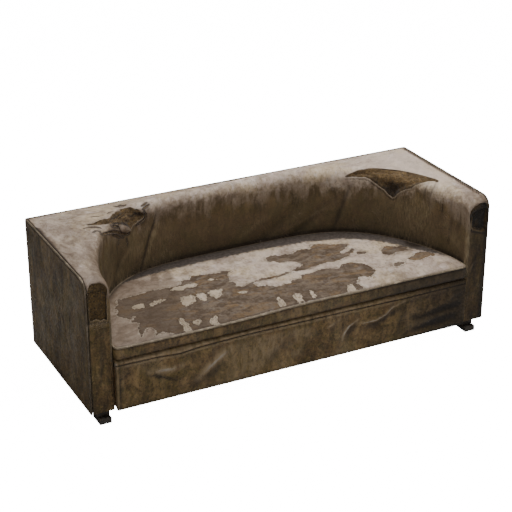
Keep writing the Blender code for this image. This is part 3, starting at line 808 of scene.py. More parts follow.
def panelLeatherMaterial(name, wear, dirt, streaky):
    # brown leather of the outside panels
    material, tree, shader = newMaterial(name, 0.62, 0.2)
    place, pale = sheetPlace(tree), attribute(tree, "pale")
    rough = useGroup(grain, place, Pebble=430.0, Cracks=0.7)
    aged = useGroup(agedLeather, place, Wear=wear, Dirt=dirt, Streaks=streaky)
    dull = softStep(drawnNoise(place, 40.0, 14.0, 5.0, 0.7), 0.36, 0.6)
    colour = layered(
        aged["Color"], (times(pale, plus(dull, 0.3)), (0.27, 0.195, 0.115)),
        # a greyer painted highlight where pale runs highest, along the front panel's fold ridges
        (times(softStep(pale, 0.85, 1.25), 0.8), (0.36, 0.32, 0.27)),
        # dark seams, and painted shade in fold grooves and over the front panel's right end
        (attribute(tree, "scarAndShade"), tones["seam"]), (times(rough["Crack"], 0.5), tones["dripAndShade"]),
        (useGroup(scuffs, place, Amount=0.5)["Mask"], tones["ash"]),
    )
    gloss = rescaled(noiseOf(place, 12.0, 4.0), 0.42, 0.8)
    dress(shader, colour, plus(rough["Height"], aged["Ripple"]), gloss)
    return material


def seatLeatherMaterial():
    material, tree, shader = newMaterial("worn_seat_leather", 0.65, 0.28)
    place = sheetPlace(tree)
    labels = ("soil", "peel", "isle", "rear", "side", "shadowAndSmudge")
    mark = {label: attribute(tree, label) for label in labels}
    rough = useGroup(grain, place, Pebble=460.0, Cracks=0.35)
    top = useGroup(paleFinish, place, Soil=mark["soil"])["Color"]
    # the peeled ground, rubbed lengthwise
    along = softStep(drawnNoise(place, 11.0, 20.0, 7.0, 0.72, 0.6), 0.42, 0.58)
    tan = softStep(drawnNoise(place, 8.0, 15.0, 6.0, 0.7, 0.5), 0.5, 0.62)
    grey = softStep(drawnNoise(place, 16.0, 34.0, 5.0, 0.7), 0.53, 0.66)
    small = useGroup(flecks, stretched(place, (1.0, 0.6, 1.0)), Size=0.011)
    ground = layered(
        tones["hideDark"], (along, tones["hide"]), (times(tan, 0.8), tones["hideTan"]),
        (times(grey, 0.5), (0.21, 0.183, 0.16)), (times(small["Dark"], 0.55), tones["dark"]),
        (times(small["Light"], 0.3), (0.26, 0.215, 0.17)),
        (times(mark["soil"], 0.62), tones["hideDark"]),
    )
    frayed = drawnNoise(place, 60.0, 40.0, 6.0, 0.74, 0.3)
    line = plus(times(minus(frayed, 0.5), 0.055), mark["peel"])
    finish = softStep(line, -0.0006, 0.0006)
    rim = times(softStep(line, 0.009, 0.001), softStep(line, -0.001, 0.0005))
    # a second fine crack runs round just inside the torn edge
    inner = minus(line, times(noiseOf(place, 26.0, 3.0), 0.017))
    inner = softStep(maths("ABSOLUTE", inner), 0.0026, 0.0006)
    broken = softStep(noiseOf(place, 14.0, 3.0), 0.42, 0.52)
    shadow = softStep(maths("ABSOLUTE", plus(line, 0.0022)), 0.0036, 0.0005)
    # dirt and painted shade gathered along the wall, and the brown sides
    band = plus(times(minus(noiseOf(place, 55.0, 6.0, 0.72), 0.5), 0.09), mark["rear"])
    motes = softStep(noiseOf(place, 70.0, 6.0, 0.75), 0.42, 0.6)
    gatheredDirtAndShade = blended(motes, (0.022, 0.018, 0.015), (0.078, 0.065, 0.057))
    aged = useGroup(agedLeather, place, Wear=0.3, Dirt=0.55, Streaks=0.6)
    colour = layered(
        ground, (finish, blended(times(mark["isle"], 0.5), top, (0.47, 0.37, 0.25))),
        (times(rim, 0.3), (0.52, 0.44, 0.34)), (times(inner, broken, 0.8), tones["dark"]),
        (times(shadow, 0.6), tones["dark"]), (times(softStep(band, 0.018, -0.008), 0.94), gatheredDirtAndShade),
        # painted shadow at the wall, beside the arms, under the welt and over the right end, and a dark
        # smudge
        (mark["side"], aged["Color"]), (mark["shadowAndSmudge"], tones["dripAndShade"]),
        (times(rough["Crack"], 0.5), tones["dark"]),
    )
    height = plus(rough["Height"], times(finish, 0.0011), times(noiseOf(place, 300.0, 2.0), 0.0005))
    dress(shader, colour, height, rescaled(finish, 0.85, 0.58))
    return material


def weltMaterial():
    material, tree, shader = newMaterial("worn_piping_leather", 0.6, 0.3)
    place = objectPlace(tree)
    rough = useGroup(grain, place, Pebble=600.0, Cracks=0.6)
    dirt = useGroup(grime, place, Size=0.035, Amount=0.55)
    colour = layered(
        (0.055, 0.038, 0.023), (attribute(tree, "pale"), (0.46, 0.37, 0.26)),
        (times(dirt["Mask"], 0.6), tones["dark"]), (rough["Crack"], tones["dripAndShade"]),
    )
    dress(shader, colour, rough["Height"], None, 0.7)
    return material


def hairMaterial(name, light, dark, deep):
    # matted hair and felt under the leather
    material, tree, shader = newMaterial(name, 0.95, 0.1, 0.15)
    place = objectPlace(tree)
    matted = noiseOf(place, 60.0, 7.0, 0.72, 1.2)
    tufts = noiseOf(stretched(place, (1.0, 1.0, 0.35)), 380.0, 3.0, 0.7, 0.8)
    colour = layered(
        dark, (softStep(matted, 0.38, 0.64), light), (times(softStep(tufts, 0.5, 0.32), 0.85), deep),
        # painted shade deep in the hollows of the stuffing
        (attribute(tree, "hollowShade"), deep),
    )
    dress(shader, colour, plus(times(matted, 0.005), times(tufts, 0.0018)))
    return material


def plainMaterial(
    name, light, dark, size, stretch=(1.0, 1.0, 1.0), roughness=0.8, relief=0.0004, metal=0.0,
):
    # a two-tone surface with grain in one direction: threads, board, cloth, timber and steel
    material, tree, shader = newMaterial(name, roughness, 0.3)
    shader.inputs["Metallic"].default_value = metal
    fine = noiseOf(stretched(objectPlace(tree), stretch), 1.0 / size, 5.0, 0.65, 0.6)
    broad = noiseOf(objectPlace(tree), 7.0, 3.0)
    share = softStep(plus(fine, times(broad, 0.4)), 0.45, 0.95)
    dress(shader, blended(share, dark, light), times(fine, relief))
    return material


def wovenMaterial(name, light, dark, pitch):
    material, tree, shader = newMaterial(name, 0.95, 0.1)
    place = objectPlace(tree)
    parts = addNode(tree, "SeparateXYZ", {0: place}).outputs
    turns = 2 * math.pi / pitch
    warp, weft = (maths("SINE", times(parts[axis], turns)) for axis in (0, 1))
    weave = softStep(times(warp, weft), -0.7, 0.7)
    dirt = useGroup(grime, place, Size=0.2, Amount=0.5)
    colour = layered(dark, (weave, light), (times(dirt["Mask"], 0.4), dark))
    dress(shader, colour, times(weave, 0.0004))
    return material


def footMaterial():
    material, tree, shader = newMaterial("stained_foot_wood", 0.45, 0.4)
    place = objectPlace(tree)
    lines = noiseOf(stretched(place, (90.0, 6.0, 90.0)), 1.0, 5.0, 0.6, 0.8)
    dust = useGroup(grime, place, Size=0.03, Amount=0.5)["Mask"]
    colour = layered(
        (0.012, 0.009, 0.007), (lines, (0.03, 0.022, 0.016)), (times(dust, 0.5), (0.10, 0.085, 0.07)),
        (attribute(tree, "chip"), (0.22, 0.14, 0.08)),
    )
    dress(shader, colour, times(lines, 0.0007), rescaled(dust, 0.35, 0.8))
    return material


print("materials")
insideLeather = insideLeatherMaterial()
panelLeather = panelLeatherMaterial("worn_panel_leather", 0.35, 0.45, 1.0)
frontLeather = panelLeatherMaterial("worn_front_leather", 0.85, 0.5, 0.6)
seatLeather = seatLeatherMaterial()
weltLeather = weltMaterial()
rawLeather = plainMaterial("raw_leather_edge", (0.38, 0.31, 0.23), (0.22, 0.165, 0.115), 0.004)
hair = hairMaterial("matted_hair", (0.225, 0.147, 0.066), (0.105, 0.068, 0.032), (0.028, 0.019, 0.012))
felt = hairMaterial("worn_felt", (0.165, 0.103, 0.036), (0.07, 0.044, 0.018), (0.014, 0.01, 0.007))
thread = plainMaterial("waxed_thread", (0.12, 0.09, 0.065), (0.05, 0.038, 0.028), 0.002, relief=0.0001)
darkThread = plainMaterial(
    "dirty_thread", (0.055, 0.038, 0.026), (0.025, 0.018, 0.012), 0.002, relief=0.0001,
)
paleThread = plainMaterial("frayed_thread", (0.5, 0.42, 0.33), (0.3, 0.23, 0.17), 0.002, relief=0.0001)
footWood = footMaterial()
timber = plainMaterial("frame_timber", (0.50, 0.35, 0.2), (0.27, 0.17, 0.09), 0.02, (1.0, 0.1, 1.0), 0.75)
plywood = plainMaterial(
    "bent_plywood", (0.55, 0.40, 0.25), (0.36, 0.24, 0.13), 0.015, (0.12, 1.0, 1.0), 0.7,
)
fibreboard = plainMaterial("pressed_board", (0.24, 0.18, 0.11), (0.13, 0.095, 0.06), 0.003, roughness=0.9)
webbing = wovenMaterial("jute_webbing", (0.48, 0.37, 0.22), (0.26, 0.19, 0.105), 0.004)
cambric = wovenMaterial("dust_cloth", (0.05, 0.05, 0.052), (0.015, 0.015, 0.016), 0.0016)
zinc = plainMaterial("dull_zinc", (0.5, 0.5, 0.49), (0.28, 0.27, 0.26), 0.004, roughness=0.4, metal=1.0)


# Stitches and loose fibres, as Geometry Nodes


def geometryTree(name, **numbers):
    tree = bpy.data.node_groups.new(name, "GeometryNodeTree")
    newSocket = tree.interface.new_socket
    newSocket("Geometry", in_out="INPUT", socket_type="NodeSocketGeometry")
    for label, start in numbers.items():
        newSocket(label, in_out="INPUT", socket_type="NodeSocketFloat").default_value = start
    newSocket("Seed", in_out="INPUT", socket_type="NodeSocketInt").default_value = 1
    newSocket("Material", in_out="INPUT", socket_type="NodeSocketMaterial")
    newSocket("Geometry", in_out="OUTPUT", socket_type="NodeSocketGeometry")
    given, result = tree.nodes.new("NodeGroupInput"), tree.nodes.new("NodeGroupOutput")
    return tree, given.outputs, result


def geoNode(tree, kind, inputs=None, **settings):
    kind = kind if kind.startswith("Function") else "GeometryNode" + kind
    return newNode(tree, kind, inputs, **settings)


def randomFloat(tree, low, high, seed):
    inputs = {2: low, 3: high, "Seed": seed}
    return geoNode(tree, "FunctionNodeRandomValue", inputs, data_type="FLOAT").outputs[1]


def turnedBy(rotation, spin):
    inputs = {"Rotation": rotation, "Rotate By": spin}
    kind = "FunctionNodeRotateRotation"
    return newNode(rotation.id_data, kind, inputs, rotation_space="LOCAL").outputs[0]


def grownPiece(tree, result, instances, material, smooth=False):
    # the tree's end: real meshes in one material
    solid = geoNode(tree, "RealizeInstances", {"Geometry": instances}).outputs[0]
    if smooth:
        solid = geoNode(tree, "SetShadeSmooth", {"Geometry": solid}).outputs[0]
    inputs = {"Geometry": solid, "Material": material}
    feed(result.inputs[0], geoNode(tree, "SetMaterial", inputs).outputs[0])
    return tree


def stitchTree():
    tree, take, result = geometryTree(
        "stitchRow", Pitch=0.008, Length=0.005, Thickness=0.0012, Turn=0.0, Loose=0.1, Kept=1.0,
    )
    line = geoNode(tree, "MeshToCurve", {"Mesh": take["Geometry"]}).outputs[0]
    evenly = geoNode(tree, "ResampleCurve", {"Curve": line, "Length": take["Pitch"]}, mode="LENGTH")
    bead = geoNode(tree, "MeshUVSphere", {"Segments": 6, "Rings": 4, "Radius": 0.5})
    facing = geoNode(tree, "InputNamedAttribute", {"Name": "facing"}, data_type="FLOAT_VECTOR")
    tangent = geoNode(tree, "InputTangent")
    kind = "FunctionNodeAlignRotationToVector"
    along = geoNode(tree, kind, {"Vector": tangent.outputs[0]}, axis="X")
    inputs = {"Rotation": along.outputs[0], "Vector": facing.outputs["Attribute"]}
    upright = geoNode(tree, kind, inputs, axis="Z", pivot_axis="X")
    swing = plus(times(randomFloat(tree, -1.0, 1.0, take["Seed"]), take["Loose"]), take["Turn"])
    spin = addNode(tree, "CombineXYZ", {2: swing})
    uneven = times(randomFloat(tree, 0.75, 1.15, 5), take["Length"])
    size = addNode(tree, "CombineXYZ", {0: uneven, 1: take["Thickness"], 2: take["Thickness"]})
    spread = geoNode(tree, "InstanceOnPoints", {
        "Points": evenly.outputs[0], "Instance": bead.outputs[0],
        "Selection": maths("LESS_THAN", randomFloat(tree, 0.0, 1.0, 9), take["Kept"]),
        "Rotation": turnedBy(upright.outputs[0], spin.outputs[0]), "Scale": size.outputs[0],
    })
    return grownPiece(tree, result, spread.outputs[0], take["Material"], smooth=True)


def fibreTree():
    tree, take, result = geometryTree("looseFibres", Density=9000.0, Length=0.01, Thickness=0.0003)
    mask = geoNode(tree, "InputNamedAttribute", {"Name": "loose"}, data_type="FLOAT")
    points = geoNode(tree, "DistributePointsOnFaces", {
        "Mesh": take["Geometry"], "Density": times(mask.outputs["Attribute"], take["Density"]),
        "Seed": take["Seed"],
    })
    curl = geoNode(tree, "CurveQuadraticBezier", {
        "Resolution": 4, "Start": (0.0, 0.0, -0.05), "Middle": (0.35, 0.25, 0.5), "End": (1.0, -0.1, 0.3),
    })
    thick = maths("DIVIDE", take["Thickness"], take["Length"])
    ring = geoNode(tree, "CurvePrimitiveCircle", {"Resolution": 3, "Radius": thick})
    inputs = {"Curve": curl.outputs[0], "Profile Curve": ring.outputs[0]}
    fibre = geoNode(tree, "CurveToMesh", inputs)
    ranges = ((-0.5, 0.5, 3), (-0.5, 0.5, 4), (0.0, 6.28, 6))
    spins = {axis: randomFloat(tree, *limits) for axis, limits in enumerate(ranges)}
    spin = addNode(tree, "CombineXYZ", spins)
    spread = geoNode(tree, "InstanceOnPoints", {
        "Points": points.outputs[0], "Instance": fibre.outputs[0],
        "Rotation": turnedBy(points.outputs["Rotation"], spin.outputs[0]),
        "Scale": times(randomFloat(tree, 0.4, 1.3, 8), take["Length"]),
    })
    return grownPiece(tree, result, spread.outputs[0], take["Material"])


stitchRow, looseFibres = stitchTree(), fibreTree()


def grownMesh(name, data, tree, values):
    # runs a Geometry Nodes tree on a mesh once and keeps the result as a plain mesh
    carrier = addObject(name, data)
    modifier = carrier.modifiers.new("grow", "NODES")
    modifier.node_group = tree
    sockets = {item.name: item.identifier for item in tree.interface.items_tree if item.in_out == "INPUT"}
    for label, value in values.items():
        modifier[sockets[label]] = value
    bpy.context.view_layer.update()
    grown = bpy.data.meshes.new_from_object(evaluated(carrier))
    bpy.data.objects.remove(carrier)
    grown.name = name
    return grown


def sewRows(name, rows, material, slotName, **values):
    # rows of stitches: each row is its points and the way they face, in the sofa's axes
    points, facing, edges = [], [], []
    for row, away in rows:
        row = np.asarray(row, float)
        away = np.broadcast_to(np.asarray(away, float), row.shape)
        edges += [(len(points) + i, len(points) + i + 1) for i in range(len(row) - 1)]
        points += (row + origin).tolist()
        facing += away.tolist()
    data = meshOf(name + "Path", points, [], edges)
    layer = data.attributes.new("facing", "FLOAT_VECTOR", "POINT")
    layer.data.foreach_set("vector", np.asarray(facing, np.float32).ravel())
    values["Material"] = material
    grown = grownMesh(name, data, stitchRow, values)
    piece = addObject(name, grown)
    return settle(piece, slotName)


def tubeMesh(path, radius, sides=10, spin=0.0):
    # a round cord: rings of points square to the path, with its ends closed by flat faces
    path = np.asarray(path, float)
    radius = np.broadcast_to(radius, len(path))
    along = np.gradient(path, axis=0)
    along /= np.linalg.norm(along, axis=1, keepdims=True)
    side = np.cross(along, [0.0, 0.0, 1.0])
    weak = np.linalg.norm(side, axis=1) < 0.2
    side[weak] = np.cross(along[weak], [0.0, 1.0, 0.0])
    for i in range(1, len(side)):
        if side[i] @ side[i - 1] < 0:
            side[i] = -side[i]
    side /= np.linalg.norm(side, axis=1, keepdims=True)
    up = np.cross(side, along)
    turn = np.linspace(0, 2 * math.pi, sides, endpoint=False) + spin
    offset = side[:, None] * np.cos(turn)[None, :, None] + up[:, None] * np.sin(turn)[None, :, None]
    points = path[:, None] + offset * radius[:, None, None]
    faces = gridFaces(len(path), sides, closed=True).tolist()
    last = (len(path) - 1) * sides
    faces += [list(range(sides)), list(range(last, last + sides))[::-1]]
    return points.reshape(-1, 3), faces, offset.reshape(-1, 3)


# The leather over the inside wall, the roll and the flat top


rightTear = metres([
    (642, -68), (660, -56), (703, -31), (737, -20), (774, -3), (806, 5), (853, 12), (903, 22), (946, 25),
    (992, 27), (1070, 26), (1114, 28), (1136, 20), (1138, 0), (1104, -17), (1070, -38), (1031, -61),
    (1007, -85), (978, -97), (940, -123), (913, -154), (903, -160), (879, -148), (855, -123), (828, -110),
    (798, -91), (771, -73), (747, -67), (696, -67),
])
leftTear = metres([
    (-842, 47), (-818, 28), (-782, 10), (-757, -3), (-739, -17), (-698, -14), (-660, -10), (-640, -12),
    (-628, -4), (-603, -10), (-577, -20), (-565, -34), (-534, -56), (-520, -68), (-514, -85), (-521, -99),
    (-546, -105), (-583, -111), (-597, -123), (-603, -137), (-617, -128), (-650, -97), (-674, -86),
    (-696, -79), (-721, -65), (-745, -58), (-763, -44), (-792, -34), (-822, -17), (-834, 12),
])
leftSlits = metres([  # cuts and cracks round the left tear: the line and its width
    ([(-891, -44), (-857, -57), (-814, -72), (-769, -86), (-719, -106), (-688, -127), (-650, -145),
        (-615, -154)], 12),
    ([(-765, -103), (-735, -118), (-694, -146), (-660, -157)], 6),
    ([(-883, 47), (-867, 30), (-859, 12), (-844, -28)], 8),
    ([(-765, -50), (-757, -62), (-733, -70), (-705, -85)], 7),
    ([(-769, -79), (-741, -91), (-715, -104)], 6),
    ([(-516, -36), (-494, -31), (-476, -24)], 7),
    ([(-518, -53), (-496, -48), (-470, -38)], 7),
    ([(-579, 66), (-587, 43), (-603, 13), (-580, 12), (-553, 30)], 8),
    ([(-555, 61), (-570, 34), (-575, 20)], 7),
    ([(-742, 69), (-733, 57), (-729, 38)], 5),
    ([(-692, 15), (-674, 16), (-655, 12)], 6),
    ([(-512, -62), (-503, -86), (-508, -106), (-530, -117), (-566, -122)], 6),
    ([(-915, -7), (-887, -14), (-876, -36)], 4),
    ([(-638, -172), (-632, -211)], 4),
    ([(-705, -148), (-709, -174)], 4),
])
hollows = metres([  # where the painted shade is darkest in the left tear's stuffing: the line and its half width
    ([(-563, -64), (-546, -70), (-528, -80)], 11),
    ([(-838, 30), (-826, 8), (-808, -18), (-763, -41)], 7),
    ([(-668, -48), (-646, -44), (-620, -42)], 4),
    ([(-601, -55), (-589, -66), (-572, -78)], 5),
    ([(-735, -52), (-700, -64), (-655, -84), (-612, -118)], 7),
    ([(-720, -26), (-680, -30), (-640, -26)], 3),
])
rightArmHole = metres([  # over the rounded front of the right arm
    (1450, -106), (1416.8, -102), (1414.8, -86), (1413.5, -60), (1413.5, -20), (1411, 5), (1409, 30),
    (1409, 50), (1413, 58), (1450, 60),
])
leftArmHole = metres([
    (-1450, -60), (-1416, -56), (-1410, -45), (-1407, -28), (-1404, 0), (-1403, 30), (-1407, 45),
    (-1413, 50), (-1450, 52),
])
insideFolds = folds([  # the line, its half width, how far it rises or sinks, and how dark the painted shade in it reads
    ([(-432, -60), (-453, -141), (-482, -204), (-510, -280), (-538, -356), (-550, -420)], 10, -4.5, 0.75),
    ([(-470, -80), (-500, -170), (-535, -260), (-570, -370)], 20, 3, 0.0),
    ([(530, -30), (555, -90), (577, -141), (610, -220)], 16, -3, 0.25),
    ([(700, -90), (665, -130), (640, -200), (610, -290), (570, -420)], 14, -4.5, 0.6),
    ([(740, -150), (700, -220), (660, -320)], 24, 2.5, 0.0),
    ([(520, -240), (431, -330), (330, -400)], 26, -4, 0.35),
    ([(360, -240), (220, -340), (60, -420)], 30, -3, 0.25),
    ([(1126, 15), (1141, -41), (1126, -110)], 8, -3.5, 0.5),
    ([(1105, -20), (1094, -80), (1085, -130)], 7, -3, 0.4),
    ([(1150, 5), (1170, -60), (1160, -130)], 9, 2.5, 0.0),
    ([(1270, -60), (1272, -200), (1262, -360)], 14, -3, 0.35),
    ([(1335, -100), (1330, -220), (1320, -380)], 14, -2.2, 0.2),
    ([(-860, 40), (-930, 65), (-1000, 75), (-1080, 80)], 4, -1.5, 0.3),
    ([(-860, 20), (-950, 40), (-1050, 55)], 4, -1.2, 0.25),
    ([(-1045, -220), (-950, -300), (-850, -400)], 12, -3.5, 0.3),
    ([(-950, -80), (-920, -200), (-860, -380)], 18, -3, 0.25),
    ([(-660, -200), (-720, -300), (-800, -400)], 20, -3, 0.3),
])
palerFolds = folds([  # soft ridges across the wall, rubbed and given a painted highlight: the line, its half width and tone
    ([(560, -240), (498, -267), (386, -318), (321, -337)], 8, 0.5),
    ([(210, -240), (173, -261), (102, -293), (42, -337)], 18, 0.3),
    ([(-600, -220), (-617, -242), (-682, -286), (-755, -337)], 14, 0.4),
    ([(1160, -100), (1143, -141), (1076, -274), (986, -387)], 20, 0.35),
    ([(1220, -200), (1276, -267), (1372, -318)], 30, 0.4),
])
paleFoot = metres([  # how far down the pale finish has kept, along the wall
    (-1420, -22), (-1290, -24), (-1170, -34), (-1000, -50), (-900, -46), (-700, -60), (-480, -78), (0, -80),
    (400, -83), (600, -100), (720, -90), (1000, -62), (1165, -51), (1230, -70), (1300, -78), (1350, -85),
    (1390, -80), (1420, -70),
])
topSoil = [  # how soiled the pale finish is, along the wall
    (-1.4, 0.58), (-0.6, 0.5), (-0.2, 0.42), (0.3, 0.32), (0.6, 0.0), (0.9, -0.35), (1.15, -0.3),
    (1.25, 0.22), (1.42, 0.8),
]
# dark runs down the wall: where, and half their width
drips = metres([(1205, 14), (1285, 12), (1347, 10), (1130, 8), (360, 20), (160, 30)])
slits = [slitOutline(line, width) for line, width in leftSlits]
tears = [
    raggedOutline(rightTear, 0.004, 0.0022, 3),
    raggedOutline(leftTear, 0.0035, 0.0055, 5),
    raggedOutline(rightArmHole, 0.004, 0.0012, 9),
    raggedOutline(leftArmHole, 0.004, 0.0015, 12),
]


def tearDistance(spots):
    return np.min([outlineDistance(spots, tear) for tear in tears], axis=0)


def slitDistance(spots):
    return np.min([outlineDistance(spots, slit) for slit in slits], axis=0)


def lowerSide(spots):
    # 1 along the right tear's lower edges, 0 along its upper edge
    upper = np.interp(spots[:, 0], [0.65, 0.8, 0.95, 1.13], [-0.075, -0.05, -0.02, 0.0])
    return eased(upper - spots[:, 1], -0.002, 0.008) * (np.abs(spots[:, 0] - 0.89) < 0.27)


def insideLift(spots):
    # how far the slack leather stands off its padding
    u, w = spots[:, 0], spots[:, 1]
    onWall = eased(-w, 0.04, 0.13)
    lift = 0.0022 * onWall * cloudNoise(spots, (0.24, 0.34), 21)
    lift += 0.0011 * onWall * cloudNoise(spots, (0.05, 0.26), 24)
    lift += 0.0009 * cloudNoise(spots, (0.07, 0.06), 27) * (1 - 0.6 * onWall)
    for line, width, depth, _ in insideFolds:
        lift += foldLift(spots, line, width, depth)
    nearRight, under = positive(outlineDistance(spots, tears[0])), lowerSide(spots)
    lift += 0.003 * under * bump(nearRight, 0.006)
    lift -= 0.0018 * under * bump(nearRight, 0.005, 0.014)
    lift += 0.004 * oval(u, w, (0.66, -0.082), (0.05, 0.012))
    nearLeft = positive(outlineDistance(spots, tears[1]))
    curl = 0.5 + 0.9 * cloudNoise(spots, 0.022, 31)
    lift += 0.0045 * curl * np.exp(-nearLeft / 0.010)
    nearSlits = positive(slitDistance(spots))
    lift += 0.003 * (0.4 + cloudNoise(spots, 0.03, 34)) * np.exp(-nearSlits / 0.007)
    edge = topReach(u) - w
    lift -= 0.0022 * np.exp(-positive(edge) / 0.004)
    lift *= eased(halfRun - np.abs(u), -0.01, 0.02)
    return softFloor(np.minimum(lift, 0.0085), 0.0022)


wallFoot = -quarterRoll - (insideTop - inside["roll"] - inside["foot"])


def wallGrid(stations, down, topRows, margin=0.0):
    # flat coordinates over the wall and the top, column by column
    flat = [np.r_[down, np.linspace(0, width - margin, topRows)[1:]] for width in topReach(stations)]
    return np.stack([np.repeat(stations[:, None], len(flat[0]), 1), np.array(flat)], -1)


def cellsBetween(flat, low, high, lowRow, highRow):
    u = flat[:, 0, 0]
    c0, c1 = np.searchsorted(u, low), np.searchsorted(u, high)
    return (max(c0 - 1, 0), min(c1, len(u) - 1), lowRow, highRow)


def insideWear(spots, points):
    # where the finish ends, is soiled, stained, scarred or rubbed, and where painted shade and painted
    # light fall
    u, w = spots.T
    soil = readOff(topSoil, u)
    soil += 0.22 * cloudNoise(spots, 0.3, 41)
    toEdge = positive(topReach(u) - w)
    soil += 0.9 * np.exp(-toEdge / 0.0035)
    fromSide = boxHalf - np.abs(points[:, 0])  # a browner strip along each side's welt
    wide, narrow = 1.2 * eased(-fromSide, -0.042, -0.026), 0.7 * eased(-fromSide, -0.018, -0.014)
    soil += np.where(points[:, 0] > 0, wide, narrow) * eased(w, -0.02, 0.0)
    stain = 0.6 * bump(u, 0.16, -0.77) * eased(-w, 0.03, 0.07) * eased(w, -0.34, -0.2)
    stain += 0.35 * bump(u, 0.16, 0.95) * eased(-w, 0.09, 0.16)
    for middle, reach in drips:
        stain += 1.5 * bump(u, reach, middle) * eased(-w, 0.045, 0.08) * eased(w, -0.26, -0.12)
    leftGap = positive(outlineDistance(spots, tears[1]))
    patchy = 0.5 + 0.7 * cloudNoise(spots, 0.03, 44)
    # painted shadow: dark outlines round the left tear and its slits, and along the right tear's upper edge
    scarAndShade = 0.85 * patchy * bump(leftGap, 0.0045)
    scarAndShade += 0.6 * patchy * bump(leftGap, 0.0025, 0.012)
    scarAndShade += bump(positive(slitDistance(spots)), 0.005)
    rightGap, under = positive(outlineDistance(spots, tears[0])), lowerSide(spots)
    scarAndShade += 0.75 * bump(rightGap, 0.002) * (1 - 0.6 * under)
    # painted shade in the fold grooves
    for line, width, _, dark in insideFolds:
        scarAndShade += dark * foldTone(spots, line, 0.8 * width)
    # painted shade: the wall darkens towards its foot, most of all where it meets the seat
    shade = 0.5 * eased(-w, 0.335, 0.385) + 0.2 * eased(-w, 0.24, 0.36) + 0.5 * eased(-w, 0.362, 0.374)
    end = halfRun - np.abs(u)
    # painted highlight down the rounded edge at each arm's front end, and on the ridge beside the long left
    # crease
    rubAndLight = bump(end, 0.014, 0.010) * eased(-w, 0.03, 0.1) * np.where(u > 0, 0.9, 0.45)
    rubAndLight += 0.5 * foldTone(spots, [(-0.41, -0.08), (-0.46, -0.22), (-0.52, -0.36)], 0.014)
    # painted light: the wall lit up on the left and on the right, with painted highlights on the paler
    # ridges
    lit = 0.8 * bump(u, 0.3, -0.7) + 0.55 * bump(u, 0.18, 1.03)
    for line, width, tone in palerFolds:
        rubAndLight += tone * foldTone(spots, line, width)
    rubAndLight += lit * eased(-w, 0.07, 0.15) * eased(cloudNoise(spots, (0.16, 0.2), 49), -0.8, 0.5)
    lower = under * (u < 0.93)
    lip = lower * 0.6 * bump(rightGap, 0.0022, 0.003)
    lip += 0.12 * under * (u >= 0.93) * bump(rightGap, 0.0025, 0.002)
    # painted shade in the crease below the right tear's lower lip
    scarAndShade += 0.45 * lower * bump(rightGap, 0.004, 0.0115)
    lip += 0.6 * (0.5 + cloudNoise(spots, 0.025, 47)) * bump(leftGap, 0.003, 0.007)
    lip += 0.45 * foldTone(spots, [(1.138, 0.01), (1.152, -0.04), (1.135, -0.1)], 0.009)
    lip += 0.3 * oval(u, w, (1.10, -0.055), (0.04, 0.03))
    streaky = 0.05 + 0.95 * eased(w, -0.24, -0.09)
    edgeWidth = 0.0032 + 0.007 * eased(points[:, 1], boxDepth - 0.05, boxDepth - 0.03)
    scarAndShade += 0.85 * bump(toEdge, edgeWidth)
    return {
        "pale": w - readOff(paleFoot, u), "stain": np.clip(stain, 0, 1), "soil": np.clip(soil, -0.45, 1),
        "scarAndShade": np.clip(scarAndShade, 0, 0.9), "lip": np.clip(lip, 0, 0.75), "shade": np.clip(shade, 0, 0.9),
        "rubAndLight": np.clip(rubAndLight, 0, 0.8), "streaks": streaky, "drawn": eased(u, -0.9, -0.6),
    }


def dressInside():
    stations = steps([
        (-halfRun, 0.004), (-halfRun + 0.072, 0.009), (halfRun - 0.072, 0.004), (halfRun, 0.004),
    ])
    wallRows, rollRows, topRows = 40, 12, 9
    wall = np.linspace(wallFoot, -quarterRoll, wallRows)
    flat = wallGrid(stations, np.r_[wall[:-1], np.linspace(-quarterRoll, 0, rollRows)], topRows)
    last = flat.shape[1] - 1
    below = wallRows - 11  # where the finer mesh starts, under the roll
    windows = [
        (cellsBetween(flat, -halfRun, -1.376, below, last), [tears[3]], 0.005),
        (cellsBetween(flat, -0.95, -0.44, below - 2, last), [tears[1], *slits], 0.0036),
        (cellsBetween(flat, 0.62, 1.17, below, last), [tears[0]], 0.0044),
        (cellsBetween(flat, 1.378, halfRun, below, last), [tears[2]], 0.005),
    ]
    spots, faces = patchwork(flat, windows)
    u, w = spots.T
    normal = coverNormal(u, w)
    points = coverSurface(u, w) + normal * insideLift(spots)[:, None]
    values = insideWear(spots, points)
    leatherSheet(
        "insideCover", "cover_leather", ["inside_cover"], points, faces, normal, spots, values,
        face=insideLeather, thick=inside["leather"],
    )


print("inside leather")
dressInside()

padding = {
    "depth": 0.003,  # under the leather's face
    "thickness": 0.021,
    "sink": 0.014,  # lost hair in a tear
    "fibres": 26000.0,  # to the square metre
    "fibre": (0.011, 0.00032),  # length and thickness
}


def growHair(name, piece, material, count, length, width, seed):
    # loose fibres where the piece is marked as loose
    values = {"Density": count, "Length": length, "Thickness": width, "Seed": seed}
    values["Material"] = material
    settle(addObject(name, grownMesh(name, piece.data.copy(), looseFibres, values)), "padding")


def cavityAt(spots):
    gap = tearDistance(spots)
    within = np.clip(-gap, 0, 0.03)
    sunk = padding["sink"] * eased(within, 0.0, 0.022)
    u, w = spots.T
    throat = oval(u, w, (0.885, -0.115), (0.05, 0.035))
    sunk += 0.006 * throat * (gap < 0)
    rough = 0.0035 * cloudNoise(spots, 0.022, 51) + 0.0018 * cloudNoise(spots, 0.008, 54, 2)
    atArm = np.abs(u) > 1.36
    sunk = np.where(atArm, np.minimum(sunk, 0.005), sunk)
    return sunk + np.where(gap < 0.004, rough * np.where(atArm, 0.4, 1.0), 0), gap, throat


